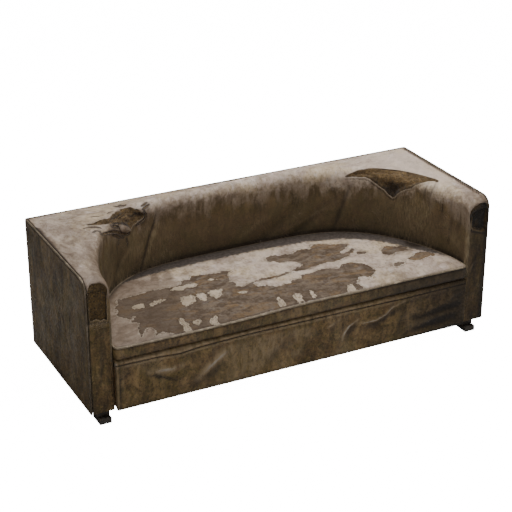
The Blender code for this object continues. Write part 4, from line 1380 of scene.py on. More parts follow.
def dressPadding():
    stations = steps([
        (-halfRun, 0.006), (-1.36, 0.016), (-0.92, 0.004), (-0.49, 0.016), (0.63, 0.004), (1.16, 0.016),
        (1.36, 0.006), (halfRun, 0.006),
    ])
    down = np.r_[np.linspace(wallFoot + 0.004, -0.19, 14)[:-1], np.linspace(-0.19, 0, 48)]
    flat = wallGrid(stations, down, 14, 0.004)
    spots = flat.reshape(-1, 2)
    u, w = spots.T
    sunk, gap, throat = cavityAt(spots)
    depth = padding["depth"] + np.clip(sunk, 0.0, 0.02)
    normal = coverNormal(u, w)
    points = coverSurface(u, w) - normal * depth[:, None]
    # painted shade: the tear's throat, its lower half and right end, the right arm's hole and the hollows
    hollowShade = 0.3 * throat + 0.3 * eased(-gap, 0.0, 0.004) * eased(gap, -0.02, 0.0)
    lowest = np.interp(u, [0.64, 0.75, 0.88, 0.95, 1.05, 1.14], [-0.045, -0.035, -0.06, -0.06, -0.035, 0.0])
    deeper = eased(lowest - w + 0.035 * cloudNoise(spots, 0.03, 58), -0.015, 0.055)
    hollowShade += 0.58 * deeper * (np.abs(u - 0.89) < 0.26) + 0.3 * eased(u, 1.0, 1.12) * (u < 1.2)
    hollowShade += 0.75 * eased(u, 1.37, 1.372)
    hollowShade -= 0.5 * oval(u, w, (1.411, -0.02), (0.006, 0.04)) * (u > 1.37)
    for line, width in hollows:
        hollowShade += bump(lineDistance(spots, line)[0], width)
    hollowShade += 0.25 * cloudNoise(spots, 0.03, 57)
    values = {
        "hollowShade": np.clip(hollowShade, 0, 1),
        "loose": ((gap < -0.002) & (np.abs(u) < 1.3)) * 1.0,
    }
    faces = gridFaces(*flat.shape[:2])
    atArm = np.abs(u) > 1.37
    piece = makePiece("insideHair", points, faces, [hair, felt], normal, spots, values, second=atArm)
    thicken(piece, padding["thickness"])
    settle(piece, "padding", "inside_padding", fill=0.55)
    growHair("looseHair", piece, hair, padding["fibres"], *padding["fibre"], 4)


print("padding in the tears")
dressPadding()


def dressFlap():
    # the torn tongue of leather that hangs over the left tear
    outline = raggedOutline(metres([
        (-700, -90), (-690, -81), (-672, -81), (-644, -98), (-623, -111), (-606, -130), (-606, -143),
        (-630, -146), (-652, -138), (-678, -125), (-695, -106),
    ]), 0.004, 0.0011, 14)
    low, high = outline.min(0) - 0.01, outline.max(0) + 0.01
    grid = np.array([
        [(u, w) for w in np.arange(low[1], high[1], 0.005)] for u in np.arange(low[0], high[0], 0.005)
    ])
    spots = grid.reshape(-1, 2)
    fill = spots[outlineDistance(spots, outline) < -0.0022]
    spots, faces, _ = triangulated(outline, fill)
    gap = np.clip(-outlineDistance(spots, outline), 0, 1)
    lift = 0.002 + 0.0085 * (1 - np.exp(-gap / 0.009)) + 0.001 * cloudNoise(spots, 0.02, 16)
    normal = coverNormal(*spots.T)
    points = coverSurface(*spots.T) + normal * lift[:, None]
    values = {"pale": 0.1, "stain": 0, "soil": 0.62, "lip": 0, "shade": 0, "rubAndLight": 0}
    # painted shadow round the flap's curling edge
    values["scarAndShade"] = 0.85 * bump(gap, 0.004)
    leatherSheet(
        "tornFlap", "cover_leather", [], points, faces, normal, spots, values,
        face=insideLeather, thick=0.0016,
    )


dressFlap()

# The arm fronts: leather worn through near the top, felt behind it, and the front corner strip
armFront = {
    "top": insideTop - inside["frontRound"],
    "inner": inside["halfWidth"] + inside["armEdge"],
    "outer": boxHalf - inside["edge"],
    "strip": 0.028,  # how far the leather turns back beside the seat
}
wornPlaces = {  # where the leather has gone, on the left arm and on the right
    -1: metres([
        (1084, 670), (1085, 500), (1075, 488), (1050, 494), (1030, 479), (1012, 486), (998, 478),
        (996, 560), (995.5, 600), (996, 660),
    ]),
    1: metres([
        (1086, 670), (1086, 503), (1060, 508), (1030, 517), (1005, 526), (995, 538), (991.5, 556),
        (992, 600), (997, 660),
    ]),
}


def fromOuter(line):
    # measured in from the arm's outer edge
    return [(armFront["outer"] - x, z) for x, z in line]


def armInner(z):
    # the inner edge of an arm's flat front, which follows the roll near the top
    rise = np.clip(z - armFront["top"] + inside["roll"], 0, inside["roll"])
    return armFront["inner"] + inside["roll"] - np.sqrt(inside["roll"] ** 2 - rise**2)


def armGrid(margin, fine):
    # flat coordinates: in from the outer edge, and up
    centre = armFront["top"] - inside["roll"]
    arc = centre + (inside["roll"] - margin) * np.sin(np.linspace(0, math.pi / 2, 16))
    levels = np.r_[steps([(margin, 0.012), (0.42, fine), (centre, fine)]), arc[1:]]
    share = np.linspace(0, 1, 1 + int(0.1 / fine))
    left = np.full(len(levels), margin)
    right = armFront["outer"] - armInner(levels) - margin
    flat = [[(a + (b - a) * part, z) for z, a, b in zip(levels, left, right)] for part in share]
    return np.array(flat)


armMarks = {  # folds and scratches on each arm's front: line, width, lift and tone, the tone painting shade in grooves and highlights on ridges
    -1: folds([
        ([(1070, 100), (1040, 170), (1030, 260)], 12, -2, 0.3),
        ([(1020, 50), (1000, 120)], 10, -2, 0.3),
    ]),
    1: folds([
        ([(1000, 290), (1020, 330), (1045, 345)], 6, 2.5, -0.6),
        ([(1010, 215), (1035, 235), (1060, 240)], 6, 2.2, -0.55),
        ([(1060, 420), (1030, 360), (1020, 280)], 14, -2, 0.3),
    ]),
}


def dressArm(side, name):
    flat = armGrid(0.0, 0.006)
    worn = fromOuter(wornPlaces[side])
    hole = raggedOutline(worn, 0.004, 0.0022 if side < 0 else 0.0012, 60 + side)
    lowRow = np.searchsorted(flat[0, :, 1], 0.44)
    window = ((0, len(flat) - 1, lowRow, flat.shape[1] - 1), [hole], 0.0045)
    spots, faces = patchwork(flat, [window])
    c, z = spots.T
    toInner = armFront["outer"] - armInner(z) - c
    away = outlineDistance(spots, hole)
    lift = 0.0012 * cloudNoise(spots, (0.05, 0.12), 70 + side) + 0.0006 * cloudNoise(spots, 0.03, 73)
    lift += 0.003 * np.exp(-positive(away) / 0.007) * eased(z, 0.4, 0.5)
    marks = armMarks[side]
    for line, width, depth, _ in marks:
        lift += foldLift(spots, fromOuter(line), width, depth)
    lift = softFloor(np.minimum(lift, 0.004), 0.0018) * eased(toInner, 0.0, 0.008)
    lift -= 0.0012 * np.exp(-c / 0.004)
    points = np.c_[(armFront["outer"] - c) * side, -lift, z]
    rubAndLight = 0.5 * np.exp(-positive(away) / 0.004) * eased(c, 0.006, 0.016)
    if side > 0:  # only the lower inner corner of the right hole is rubbed pale; a painted highlight runs down the rounded inner edge
        rubAndLight = rubAndLight * eased(c, 0.045, 0.07) + 0.4 * bump(toInner, 0.01)
    rubAndLight += 0.5 * bump(z, 0.012, 0.466) * (side < 0)
    scarAndShade = 0.95 * bump(c, 0.005) + 0.5 * bump(positive(away - 0.012), 0.008) * (away > 0.008)
    # painted shade darkens the right arm's front, most of all near its outer edge
    scarAndShade += (0.48 + 0.5 * eased(0.03 - c, 0.0, 0.03)) * (side > 0)
    # painted shade in the fold grooves and painted highlights on the ridges
    for line, width, _, tone in marks:
        shape = foldTone(spots, fromOuter(line), 0.6 * width)
        scarAndShade += np.clip(tone, 0, 1) * shape
        rubAndLight += np.clip(-tone, 0, 1) * shape
    values = {"pale": np.clip(rubAndLight, 0, 0.9), "scarAndShade": np.clip(scarAndShade, 0, 0.88)}
    leatherSheet(
        name + "ArmFront", "panel_leather", [name + "_arm_front_cover"], points, faces,
        (0.0, -1.0, 0.0), spots, values, rim=0 if side > 0 else 1,
    )
    # the strip that turns the corner below the seat
    turn = np.linspace(0, math.pi / 2, 7)
    x = armFront["inner"] - inside["armEdge"] * np.sin(turn)
    y = inside["armEdge"] * (1 - np.cos(turn))
    x = np.r_[x, [x[-1]] * 3]
    y = np.r_[y, np.linspace(inside["armEdge"], armFront["strip"], 4)[1:]]
    turn = np.r_[turn, [math.pi / 2] * 3]
    levels = np.linspace(0, inside["foot"] + 0.001, 26)
    run = np.r_[0, np.cumsum(np.hypot(np.diff(x), np.diff(y)))] + armFront["outer"] - armFront["inner"]
    points = np.array([(a * side, b, z) for a, b in zip(x, y) for z in levels])
    normal = np.array([(-math.sin(a) * side, -math.cos(a), 0) for a in turn for _ in levels])
    spots = np.array([(a, z) for a in run for z in levels])
    faces = gridFaces(len(run), len(levels))
    values = {"pale": 0.15, "scarAndShade": 0.25}
    leatherSheet(name + "ArmCorner", "panel_leather", [], points, faces, normal, spots, values)


def dressArmFelt(side, name, depth):
    # the padding behind an arm's front, seen where the leather has gone
    flat = armGrid(0.003, 0.0045)
    spots = flat.reshape(-1, 2)
    gap = outlineDistance(spots, fromOuter(wornPlaces[side]))
    sunk = depth * eased(-gap, 0.0, 0.01) + 0.0016 * cloudNoise(spots, 0.016, 80 + side) * (gap < 0.005)
    sunk = np.clip(sunk, 0, 0.0085)
    points = np.c_[(armFront["outer"] - spots[:, 0]) * side, 0.003 + sunk, spots[:, 1]]
    # painted shade over the right arm's worn hole, and round the edge of each hole
    hollowShade = eased(-gap, 0.0, 0.012) * (0.95 if side > 0 else 0.0) + 0.5 * (np.abs(gap) < 0.005)
    hollowShade = np.clip(hollowShade + 0.3 * cloudNoise(spots, 0.02, 84), 0, 1)
    values = {"hollowShade": hollowShade, "loose": ((gap < -0.004) & (side < 0)) * 1.0}
    faces = gridFaces(*flat.shape[:2])
    piece = makePiece(name + "ArmFelt", points, faces, [felt], (0.0, -1.0, 0.0), spots, values)
    if side < 0:
        growHair(name + "ArmFuzz", piece, felt, 22000.0, 0.007, 0.00025, 7)
    thicken(piece, 0.003)
    settle(piece, "padding", name + "_arm_front_padding", fill=0.6)


print("arm fronts")
for side, name, depth in ((-1, "left", 0.003), (1, "right", 0.0075)):
    dressArm(side, name)
    dressArmFelt(side, name, depth)

# Outside panels
panels = {"slack": 0.0012, "sideFace": highCorner("right_side_cover")[0], "edge": inside["edge"]}


def panelFinish(spots, height):
    # paler along a rubbed top edge, darker and dirtier near the floor
    pale = 0.35 * eased(spots[:, 1], height - 0.035, height - 0.006)
    pale += 0.2 * eased(cloudNoise(spots, (0.22, 0.12), 91), 0.1, 0.7)
    scarAndShade = 0.3 * eased(0.03 - spots[:, 1], 0.0, 0.03) + 0.8 * bump(height - spots[:, 1], 0.004)
    return {"pale": np.clip(pale, 0, 1), "scarAndShade": np.clip(scarAndShade, 0, 1)}


def dressSides():
    _, far, height = highCorner("left_side_cover")
    bend = inside["frontRound"] - panels["edge"]
    levels = steps([(0.0, 0.014), (height - bend, 0.006), (height, 0.006)])
    share = np.linspace(0, 1, 66)
    fall = np.maximum(levels - (height - bend), 0)
    near = panels["edge"] + bend - np.sqrt(np.maximum(bend**2 - fall**2, 0))
    flat = [[(start + (far - start) * part, z) for z, start in zip(levels, near)] for part in share]
    spots = np.array(flat).reshape(-1, 2)
    for side, name in ((-1, "left"), (1, "right")):
        lift = panels["slack"] * cloudNoise(spots, (0.22, 0.3), 95 + side)
        lift += 0.0006 * cloudNoise(spots, (0.035, 0.2), 98 + side)
        lift -= 0.0012 * np.exp(-(height - spots[:, 1]) / 0.006)
        lift = np.clip(lift, -0.002, 0.0022)
        leatherSheet(
            name + "Side", "panel_leather", [name + "_side_cover"],
            np.c_[side * (panels["sideFace"] + lift), spots], gridFaces(len(share), len(levels)),
            (side, 0, 0), spots, panelFinish(spots, height), thick=0.0022,
        )


def dressBack():
    half, face, height = highCorner("back_cover")
    columns = np.linspace(-half, half, 160)
    levels = steps([(0.0, 0.014), (height - 0.02, 0.006), (height, 0.006)])
    flat = gridOf(columns, levels)
    spots = flat.reshape(-1, 2)
    lift = 0.0016 * cloudNoise(spots, (0.35, 0.3), 101) + 0.0006 * cloudNoise(spots, (0.05, 0.25), 104)
    lift = np.clip(lift - 0.0014 * np.exp(-(height - spots[:, 1]) / 0.006), -0.002, 0.0026)
    points = np.c_[spots[:, 0], face + lift, spots[:, 1]]
    leatherSheet(
        "backPanel", "panel_leather", ["back_cover"], points, gridFaces(*flat.shape[:2]),
        (0, 1, 0), spots, panelFinish(spots, height), thick=0.0022,
    )


print("outside panels")
dressSides()
dressBack()

# Front panel under the seat
frontPanel = {
    "half": highCorner("front_panel_cover")[0],
    "proud": -lowCorner("front_panel_cover")[1],
    "top": highCorner("front_panel_cover")[2],
    "radius": 0.03,
    "seam": 0.237,  # height of the seam under the rounded top
    "stitchGap": 0.0052,  # from the seam to the row of stitches on each side
    "proudStitch": 0.0022,
    # how far the seam rises or falls, along it
    "seamDrift": metres([
        (-970, 0), (-750, -3), (-650, -11), (-550, -2), (-300, 4), (200, 1), (600, -4), (970, -2),
    ]),
    # folds across the face: line, half width, lift and tone, where a tone above 0 paints shade in the
    # groove and below 0 a highlight on the ridge
    "folds": folds([
        ([(-953, -60), (-955, 90), (-955, 250)], 6, -3, 0.7),
        ([(-942, -60), (-943, 90), (-943, 250)], 5, 3, -0.5),
        ([(-815, 148), (-780, 140), (-720, 112), (-655, 80)], 9, -7, 0.85),
        ([(-830, 170), (-770, 166), (-700, 158), (-620, 165)], 18, 6, -0.8),
        ([(-960, 155), (-920, 182), (-880, 205)], 7, -3, 0.4),
        ([(-580, 50), (-500, 120), (-430, 165), (-360, 205)], 22, 6, -0.7),
        ([(-600, 20), (-470, 85), (-400, 130)], 26, -6, 0.45),
        ([(-360, 30), (-310, 100), (-270, 180)], 30, 3, 0.0),
        ([(-200, 30), (-120, 120), (-20, 170)], 30, -3, 0.25),
        ([(232, 70), (241, 120), (272, 158), (335, 183)], 11, 5.5, -1.0),
        ([(250, 60), (275, 120), (330, 160)], 20, -6, 0.5),
        ([(300, 160), (360, 150), (430, 150), (487, 168), (521, 202), (610, 220)], 11, 5.5, -1.0),
        ([(330, 130), (430, 125), (520, 165), (620, 190)], 20, -6, 0.6),
        ([(140, 170), (180, 187), (235, 210)], 9, 4, -0.7),
        ([(620, 115), (700, 105), (810, 123), (960, 127)], 18, -5, 0.5),
        ([(600, 75), (700, 85), (840, 95)], 20, 4, -0.2),
        ([(600, 30), (700, 47), (790, 63), (920, 67)], 20, -4, 0.5),
        ([(550, 20), (570, 90), (600, 170)], 20, -3, 0.4),
        ([(0, 40), (60, 120), (130, 160)], 25, -3, 0.2),
        ([(830, 160), (900, 190), (960, 200)], 12, 3, -0.3),
    ]),
}


def panelProfile(run):
    # front face upwards, round the top and back over it; run is the distance along the section
    radius = frontPanel["radius"]
    straight = frontPanel["top"] - radius
    turn = np.clip((run - straight) / radius, 0, math.pi / 2)
    beyond = positive(run - straight - radius * math.pi / 2)
    y = -frontPanel["proud"] + radius * (1 - np.cos(turn)) + beyond
    z = np.minimum(run, straight) + radius * np.sin(turn)
    return y, z, np.c_[-np.cos(turn), np.sin(turn)]


def dressFrontPanel():
    half, corner = frontPanel["half"], 0.008
    turn = corner * math.pi / 2
    end = half - corner + turn + 0.012
    across = steps([(-end, 0.003), (-half + corner, 0.008), (half - corner, 0.003), (end, 0.003)])
    seam = frontPanel["seam"] + 0.0004
    straight = frontPanel["top"] - frontPanel["radius"]
    over = straight + frontPanel["radius"] * math.pi / 2
    runs = steps([
        (0.0, 0.008), (seam - 0.016, 0.0022), (seam + 0.016, 0.004), (over, 0.006), (over + 0.036, 0.006),
    ])
    flat = gridOf(across, runs)
    spots = flat.reshape(-1, 2)
    c, run = spots.T
    y, z, facing = panelProfile(run)
    angle = np.clip((np.abs(c) - half + corner) / corner, 0, math.pi / 2)
    beyond = positive(np.abs(c) - (half - corner) - turn)
    x = np.sign(c) * (np.minimum(np.abs(c), half - corner) + corner * np.sin(angle))
    sunk = corner * (1 - np.cos(angle)) + beyond
    normal = np.c_[np.sin(angle) * np.sign(c), facing * np.cos(angle)[:, None]]
    place = np.c_[x, run]
    gap = run - seam - readOff(frontPanel["seamDrift"], x)
    fades = 1 - 0.75 * eased(x, 0.35, 0.85)
    lift = 0.0026 * bump(np.abs(gap), 0.006, 0.008) * fades
    lift -= 0.0038 * bump(gap, 0.0024) * (0.4 + 0.6 * fades)
    onFace = eased(seam - 0.012 - run, 0.0, 0.03)
    lift += onFace * 0.0026 * cloudNoise(place, (0.26, 0.12), 111)
    lift += onFace * 0.0013 * cloudNoise(place, (0.06, 0.11), 114)
    for line, width, depth, _ in frontPanel["folds"]:
        lift += foldLift(place, line, width, depth)
    lift -= 0.004 * eased(0.02 - run, 0.0, 0.02)
    lift = softFloor(np.minimum(lift, 0.0075), 0.0022) * eased(half - np.abs(x) + 0.004, 0.0, 0.02)
    points = np.c_[x, y, z] + normal * lift[:, None]
    points[:, 1:] -= facing * sunk[:, None]
    bands = bump(np.abs(gap), 0.0065, 0.0085)
    above = eased(gap, 0.0, 0.02) * 0.5
    # painted shade: the pale bands fade towards the right end
    shade = 0.75 - 0.5 * eased(x, 0.1, 0.9)
    pale = (0.8 * bands + above) * shade
    pale += 0.5 * eased(np.abs(x), half - 0.012, half - 0.001) * (x < 0)
    scarAndShade = 0.95 * bump(gap, 0.0026) * (0.3 + 0.7 * fades)
    # painted shade in the fold grooves and painted highlights on the ridges
    for line, width, _, tone in frontPanel["folds"]:
        shape = foldTone(place, line, (0.85 if width > 0.012 else 0.6) * width)
        pale += np.clip(-1.4 * tone, 0, 1.4) * shape
        scarAndShade += np.clip(1.2 * tone, 0, 1) * shape
    pale += 0.6 * onFace * bump(x, 0.33, -0.1) * eased(cloudNoise(place, (0.16, 0.09), 117), -0.5, 0.4)
    # darker along the bottom edge, and painted shade darkening the right end
    scarAndShade += 0.5 * eased(0.02 - run, 0.0, 0.02) + 0.68 * eased(x, 0.4, 0.9)
    values = {"pale": np.clip(pale, 0, 1.3), "scarAndShade": np.clip(scarAndShade, 0, 0.92)}
    leatherSheet(
        "frontPanel", "panel_leather", ["front_panel_cover"], points, gridFaces(*flat.shape[:2]),
        normal, spots, values, face=frontLeather,
    )
    # two rows of stitches beside the seam
    x = np.arange(-0.955, 0.56, 0.01)
    rows = []
    for offset in (-frontPanel["stitchGap"], frontPanel["stitchGap"]):
        y, z, facing = panelProfile(seam + readOff(frontPanel["seamDrift"], x) + offset)
        away = np.c_[np.zeros(len(x)), facing]
        rows.append((np.c_[x, y, z] + frontPanel["proudStitch"] * away, away))
    sewRows(
        "panelStitches", rows, thread, "panel_leather",
        Pitch=0.0075, Length=0.0052, Thickness=0.0011, Kept=0.8, Seed=3,
    )


print("front panel")
dressFrontPanel()

# Seat cushion: cloth-swollen, then worn
cushion = {
    "front": lowCorner("seat_cushion")[1],
    "low": lowCorner("seat_cushion")[2],
    "rim": 0.3305,  # height of the top edge beside its welt
    "crown": 0.009,
    "clear": 0.003,  # between the cushion and the wall
    "corner": 0.025,
    "welt": 0.0052,
    "ledge": 0.0105,
    "spacing": 0.0115,
    "pressure": 4.0,
    "cap": 0.0065,
    "frames": 20,
    # how far the front edge has sagged or stands up, along it
    "sag": metres([
        (-980, 0), (-860, -2), (-600, -5), (-434, -4), (-285, -2), (-100, 5), (0, 7), (157, 8), (350, 4),
        (530, 6), (830, 4), (970, 3),
    ]),
    # small dents in the top, and dirty smears: the line and its half width
    "dents": metres([([(-990, 300), (-940, 360)], 10), ([(360, 620), (300, 580), (320, 540)], 12)]),
    "smears": metres([([(-490, 650), (-570, 460)], 14), ([(-420, 640), (-500, 450)], 20)]),
    # the front edge of the band of dirt and painted shade along the wall
    "dirtAndShadeLine": metres([
        (-800, 560), (-660, 610), (-520, 620), (-230, 630), (60, 630), (350, 610), (560, 555), (680, 480),
        (780, 360), (860, 250), (940, 140), (1000, 120), (1000, 800), (-800, 800),
    ]),
}
peeled = metres([
    [(-780, 430), (-690, 425), (-605, 435), (-495, 425), (-435, 435), (-410, 470), (-375, 465), (-350, 500),
        (-305, 490), (-205, 470), (-190, 485), (-145, 460), (-180, 440), (-200, 360), (-185, 325),
        (-195, 300), (-165, 280), (-50, 315), (45, 310), (105, 325), (130, 310), (30, 285), (-105, 295),
        (-110, 250), (-50, 220), (-25, 195), (65, 200), (80, 225), (130, 215), (145, 255), (205, 255),
        (280, 270), (365, 235), (390, 270), (445, 275), (505, 215), (510, 125), (450, 75), (405, 115),
        (350, 50), (365, -12), (-660, -12), (-685, 12), (-720, 30), (-760, 5), (-735, 55), (-745, 85),
        (-765, 95), (-810, 45), (-825, 20), (-810, 90), (-780, 150), (-815, 175), (-765, 220), (-780, 235),
        (-800, 200), (-845, 265), (-820, 325), (-825, 355), (-800, 375)],
    [(75, 515), (125, 535), (160, 515), (230, 505), (290, 535), (340, 510), (370, 550), (410, 550),
        (465, 510), (545, 485), (545, 465), (495, 425), (455, 400), (455, 380), (495, 390), (545, 415),
        (550, 395), (485, 350), (420, 325), (375, 315), (345, 330), (270, 315), (205, 305), (150, 305),
        (130, 325), (210, 355), (205, 400), (165, 430), (120, 430), (100, 465), (80, 455)],
    [(515, 350), (545, 365), (580, 360), (585, 345), (570, 325), (535, 335)],
    [(660, 325), (685, 350), (720, 360), (765, 335), (805, 335), (805, 270), (765, 270), (725, 275),
        (690, 255), (660, 255), (650, 285)],
    [(730, 180), (775, 195), (805, 215), (835, 225), (880, 205), (900, 155), (850, 155), (785, 135),
        (745, 145)],
    [(620, 135), (645, 160), (680, 160), (695, 145), (670, 130), (630, 120)],
])
keptIslands = metres([
    [(-755, 310), (-725, 335), (-705, 335), (-685, 325), (-700, 285), (-740, 290)],
    [(-665, 290), (-655, 315), (-595, 335), (-570, 315), (-625, 295), (-665, 280)],
    [(-510, 400), (-455, 370), (-430, 390), (-390, 380), (-355, 400), (-370, 420), (-410, 420),
        (-475, 420)],
    [(-495, 305), (-450, 310), (-430, 300), (-430, 275), (-450, 235), (-480, 215), (-510, 205), (-515, 240),
        (-510, 275)],
    [(-415, 300), (-390, 315), (-375, 295), (-375, 260), (-390, 225), (-410, 220), (-425, 270)],
    [(-355, 290), (-335, 315), (-275, 300), (-300, 245), (-330, 220), (-345, 220), (-360, 275)],
    [(-295, 425), (-275, 430), (-250, 410), (-295, 410)],
    [(-220, 235), (-205, 235), (-175, 220), (-185, 205), (-215, 215)],
    [(-605, 95), (-585, 110), (-575, 105), (-580, 70), (-570, 50), (-585, -30), (-615, -30), (-605, 45)],
    [(-550, 50), (-525, 65), (-505, 70), (-510, 40), (-530, 15), (-545, 30)],
    [(-470, 30), (-435, 60), (-420, 55), (-430, 30), (-435, -10), (-465, -5), (-475, 15)],
    [(-90, 75), (-70, 85), (-60, 50), (-70, 0), (-105, 0), (-95, 45)],
    [(-5, 65), (15, 80), (45, 75), (35, 40), (25, 5), (-5, -5)],
    [(100, 80), (108, 65), (105, 15), (80, 5), (85, 45)],
    [(290, 40), (315, 55), (325, 45), (325, -20), (285, -20), (270, 0)],
])


def cushionRim(inset):
    # the cushion's outline from above, as points at even steps along its outermost line
    side = inside["halfWidth"] - cushion["clear"]
    radius = cushion["corner"]
    centre = (side - radius, cushion["front"] + radius)
    turn = np.radians(np.linspace(-90, 0, 9))
    corner = np.c_[centre[0] + radius * np.cos(turn), centre[1] + radius * np.sin(turn)]
    u = np.linspace(halfRun, 0, 260)
    spot, normal = wallAt(u)
    curve = spot - normal * cushion["clear"]
    half = np.r_[corner, curve[curve[:, 1] > corner[-1, 1] + 0.004]]
    half[-1, 0] = 0.0
    loop = np.r_[half, (half * [-1, 1])[::-1][1:]]
    rim = evenLine(loop, 0.0108, closed=True)
    along = np.roll(rim, -1, 0) - np.roll(rim, 1, 0)
    return rim + sideways(along) * inset


def fillRim(rim, spacing):
    low, high = rim.min(0), rim.max(0)
    fill = np.array([
        (x, y) for x in np.arange(low[0], high[0], spacing) for y in np.arange(low[1], high[1], spacing)
    ])
    fill = fill[outlineDistance(fill, rim) < -0.55 * spacing]
    _, faces, origins = triangulated(rim, fill, nearness=1e-7)
    return np.r_[rim, fill], [[min(origins[corner]) for corner in face] for face in faces]


def shapeOf(points, faces):
    shape = bmesh.new()
    corners = [shape.verts.new(point) for point in points]
    for face in faces:
        shape.faces.new([corners[index] for index in face])
    return shape


def joinedQuads(points, faces):
    # pairs of triangles become quads wherever they can
    shape = shapeOf(points, faces)
    shape.verts.index_update()
    bmesh.ops.join_triangles(
        shape, faces=shape.faces[:], angle_face_threshold=0.7, angle_shape_threshold=0.9,
    )
    made = [[corner.index for corner in face.verts] for face in shape.faces]
    shape.free()
    return made


def cushionShape():
    high, low = cushion["rim"], cushion["low"]
    rings = [  # inset and height
        (cushion["ledge"], high), (0.0062, high - 0.0045), (0.0012, high - 0.0075),
        (-0.0002, high - 0.013), (0.0, high - 0.026), (0.0, low + 0.032), (0.0, low + 0.018),
        (0.0012, low + 0.006), (0.007, low),
    ]
    count = len(cushionRim(0.0))
    topFlat, topFaces = fillRim(cushionRim(rings[0][0]), cushion["spacing"])
    lowFlat, lowFaces = fillRim(cushionRim(rings[-1][0]), 0.03)
    reach = positive(-outlineDistance(topFlat, cushionRim(0.0)))
    rise = cushion["crown"] * (1 - np.exp(-reach / 0.11)) / (1 - math.exp(-3))
    top = np.c_[topFlat, high + np.where(np.arange(len(topFlat)) < count, 0, rise)]
    points = [*top]
    rows = [np.arange(count)]
    for inset, level in rings[1:-1]:
        rows.append(np.arange(count) + len(points))
        points += [*np.c_[cushionRim(inset), np.full(count, level)]]
    base = len(points)
    bottom = np.c_[lowFlat, np.full(len(lowFlat), low)]
    points += [*bottom]
    rows.append(np.arange(count) + base)
    faces = joinedQuads(top, topFaces)
    for upper, lower in zip(rows, rows[1:]):
        after = np.roll(np.arange(count), -1)
        faces += np.stack([upper, lower, lower[after], upper[after]], 1).tolist()
    faces += [[base + corner for corner in face[::-1]] for face in joinedQuads(bottom, lowFaces)]
    pinned = np.r_[rows[0], rows[1], rows[2], np.arange(base, len(points))]
    return np.array(points), faces, pinned


def swollen(points, faces, pinned):
    # a short cloth run under pressure; each point's travel is capped
    data = meshOf("swelling", points.tolist(), faces)
    shape = bmesh.new()
    shape.from_mesh(data)
    bmesh.ops.recalc_face_normals(shape, faces=shape.faces[:])
    shape.to_mesh(data)
    shape.free()
    body = addObject("swelling", data)
    group = body.vertex_groups.new(name="seams")
    group.add([int(index) for index in pinned], 1.0, "REPLACE")
    cloth = body.modifiers.new("cloth", "CLOTH")
    cloth.settings.quality = 4
    cloth.settings.use_pressure = True
    cloth.settings.uniform_pressure_force = cushion["pressure"]
    cloth.settings.effector_weights.gravity = 0
    cloth.settings.vertex_group_mass = "seams"
    cloth.collision_settings.use_collision = False
    for step in range(1, cushion["frames"] + 1):
        bpy.context.scene.frame_set(step)
    travel = placesOf(evaluated(body).data) - points
    far = np.linalg.norm(travel, axis=1, keepdims=True)
    bpy.data.objects.remove(body)
    bpy.context.scene.frame_set(1)
    print("cloth travel", round(float(far.max()), 4), round(float(far.mean()), 4))
    return points + travel * np.tanh(far / cushion["cap"]) * cushion["cap"] / np.maximum(far, 1e-9)


def subdivided(points, faces):
    body = addObject("fine", meshOf("fine", points.tolist(), faces))
    finer = body.modifiers.new("finer", "SUBSURF")
    finer.levels = finer.render_levels = 1
    fine = bpy.data.meshes.new_from_object(evaluated(body))
    bpy.data.objects.remove(body)
    return placesOf(fine), [list(face.vertices) for face in fine.polygons]


def seatSag(points):
    x, y, z = points.T
    high, front = cushion["rim"], y - cushion["front"]
    share = np.exp(-positive(front) / 0.16) * eased(z, cushion["low"] + 0.01, high - 0.01)
    settled = -0.005 * oval(x, front, (-0.25, 0.3), (0.5, 0.2))
    return readOff(cushion["sag"], x) * share + settled * eased(z, high - 0.01, high)


def peelDistance(spots):
    gap = np.min([outlineDistance(spots, outline) for outline in peeled], axis=0)
    for island in keptIslands:
        gap = np.maximum(gap, -outlineDistance(spots, island))
    return gap


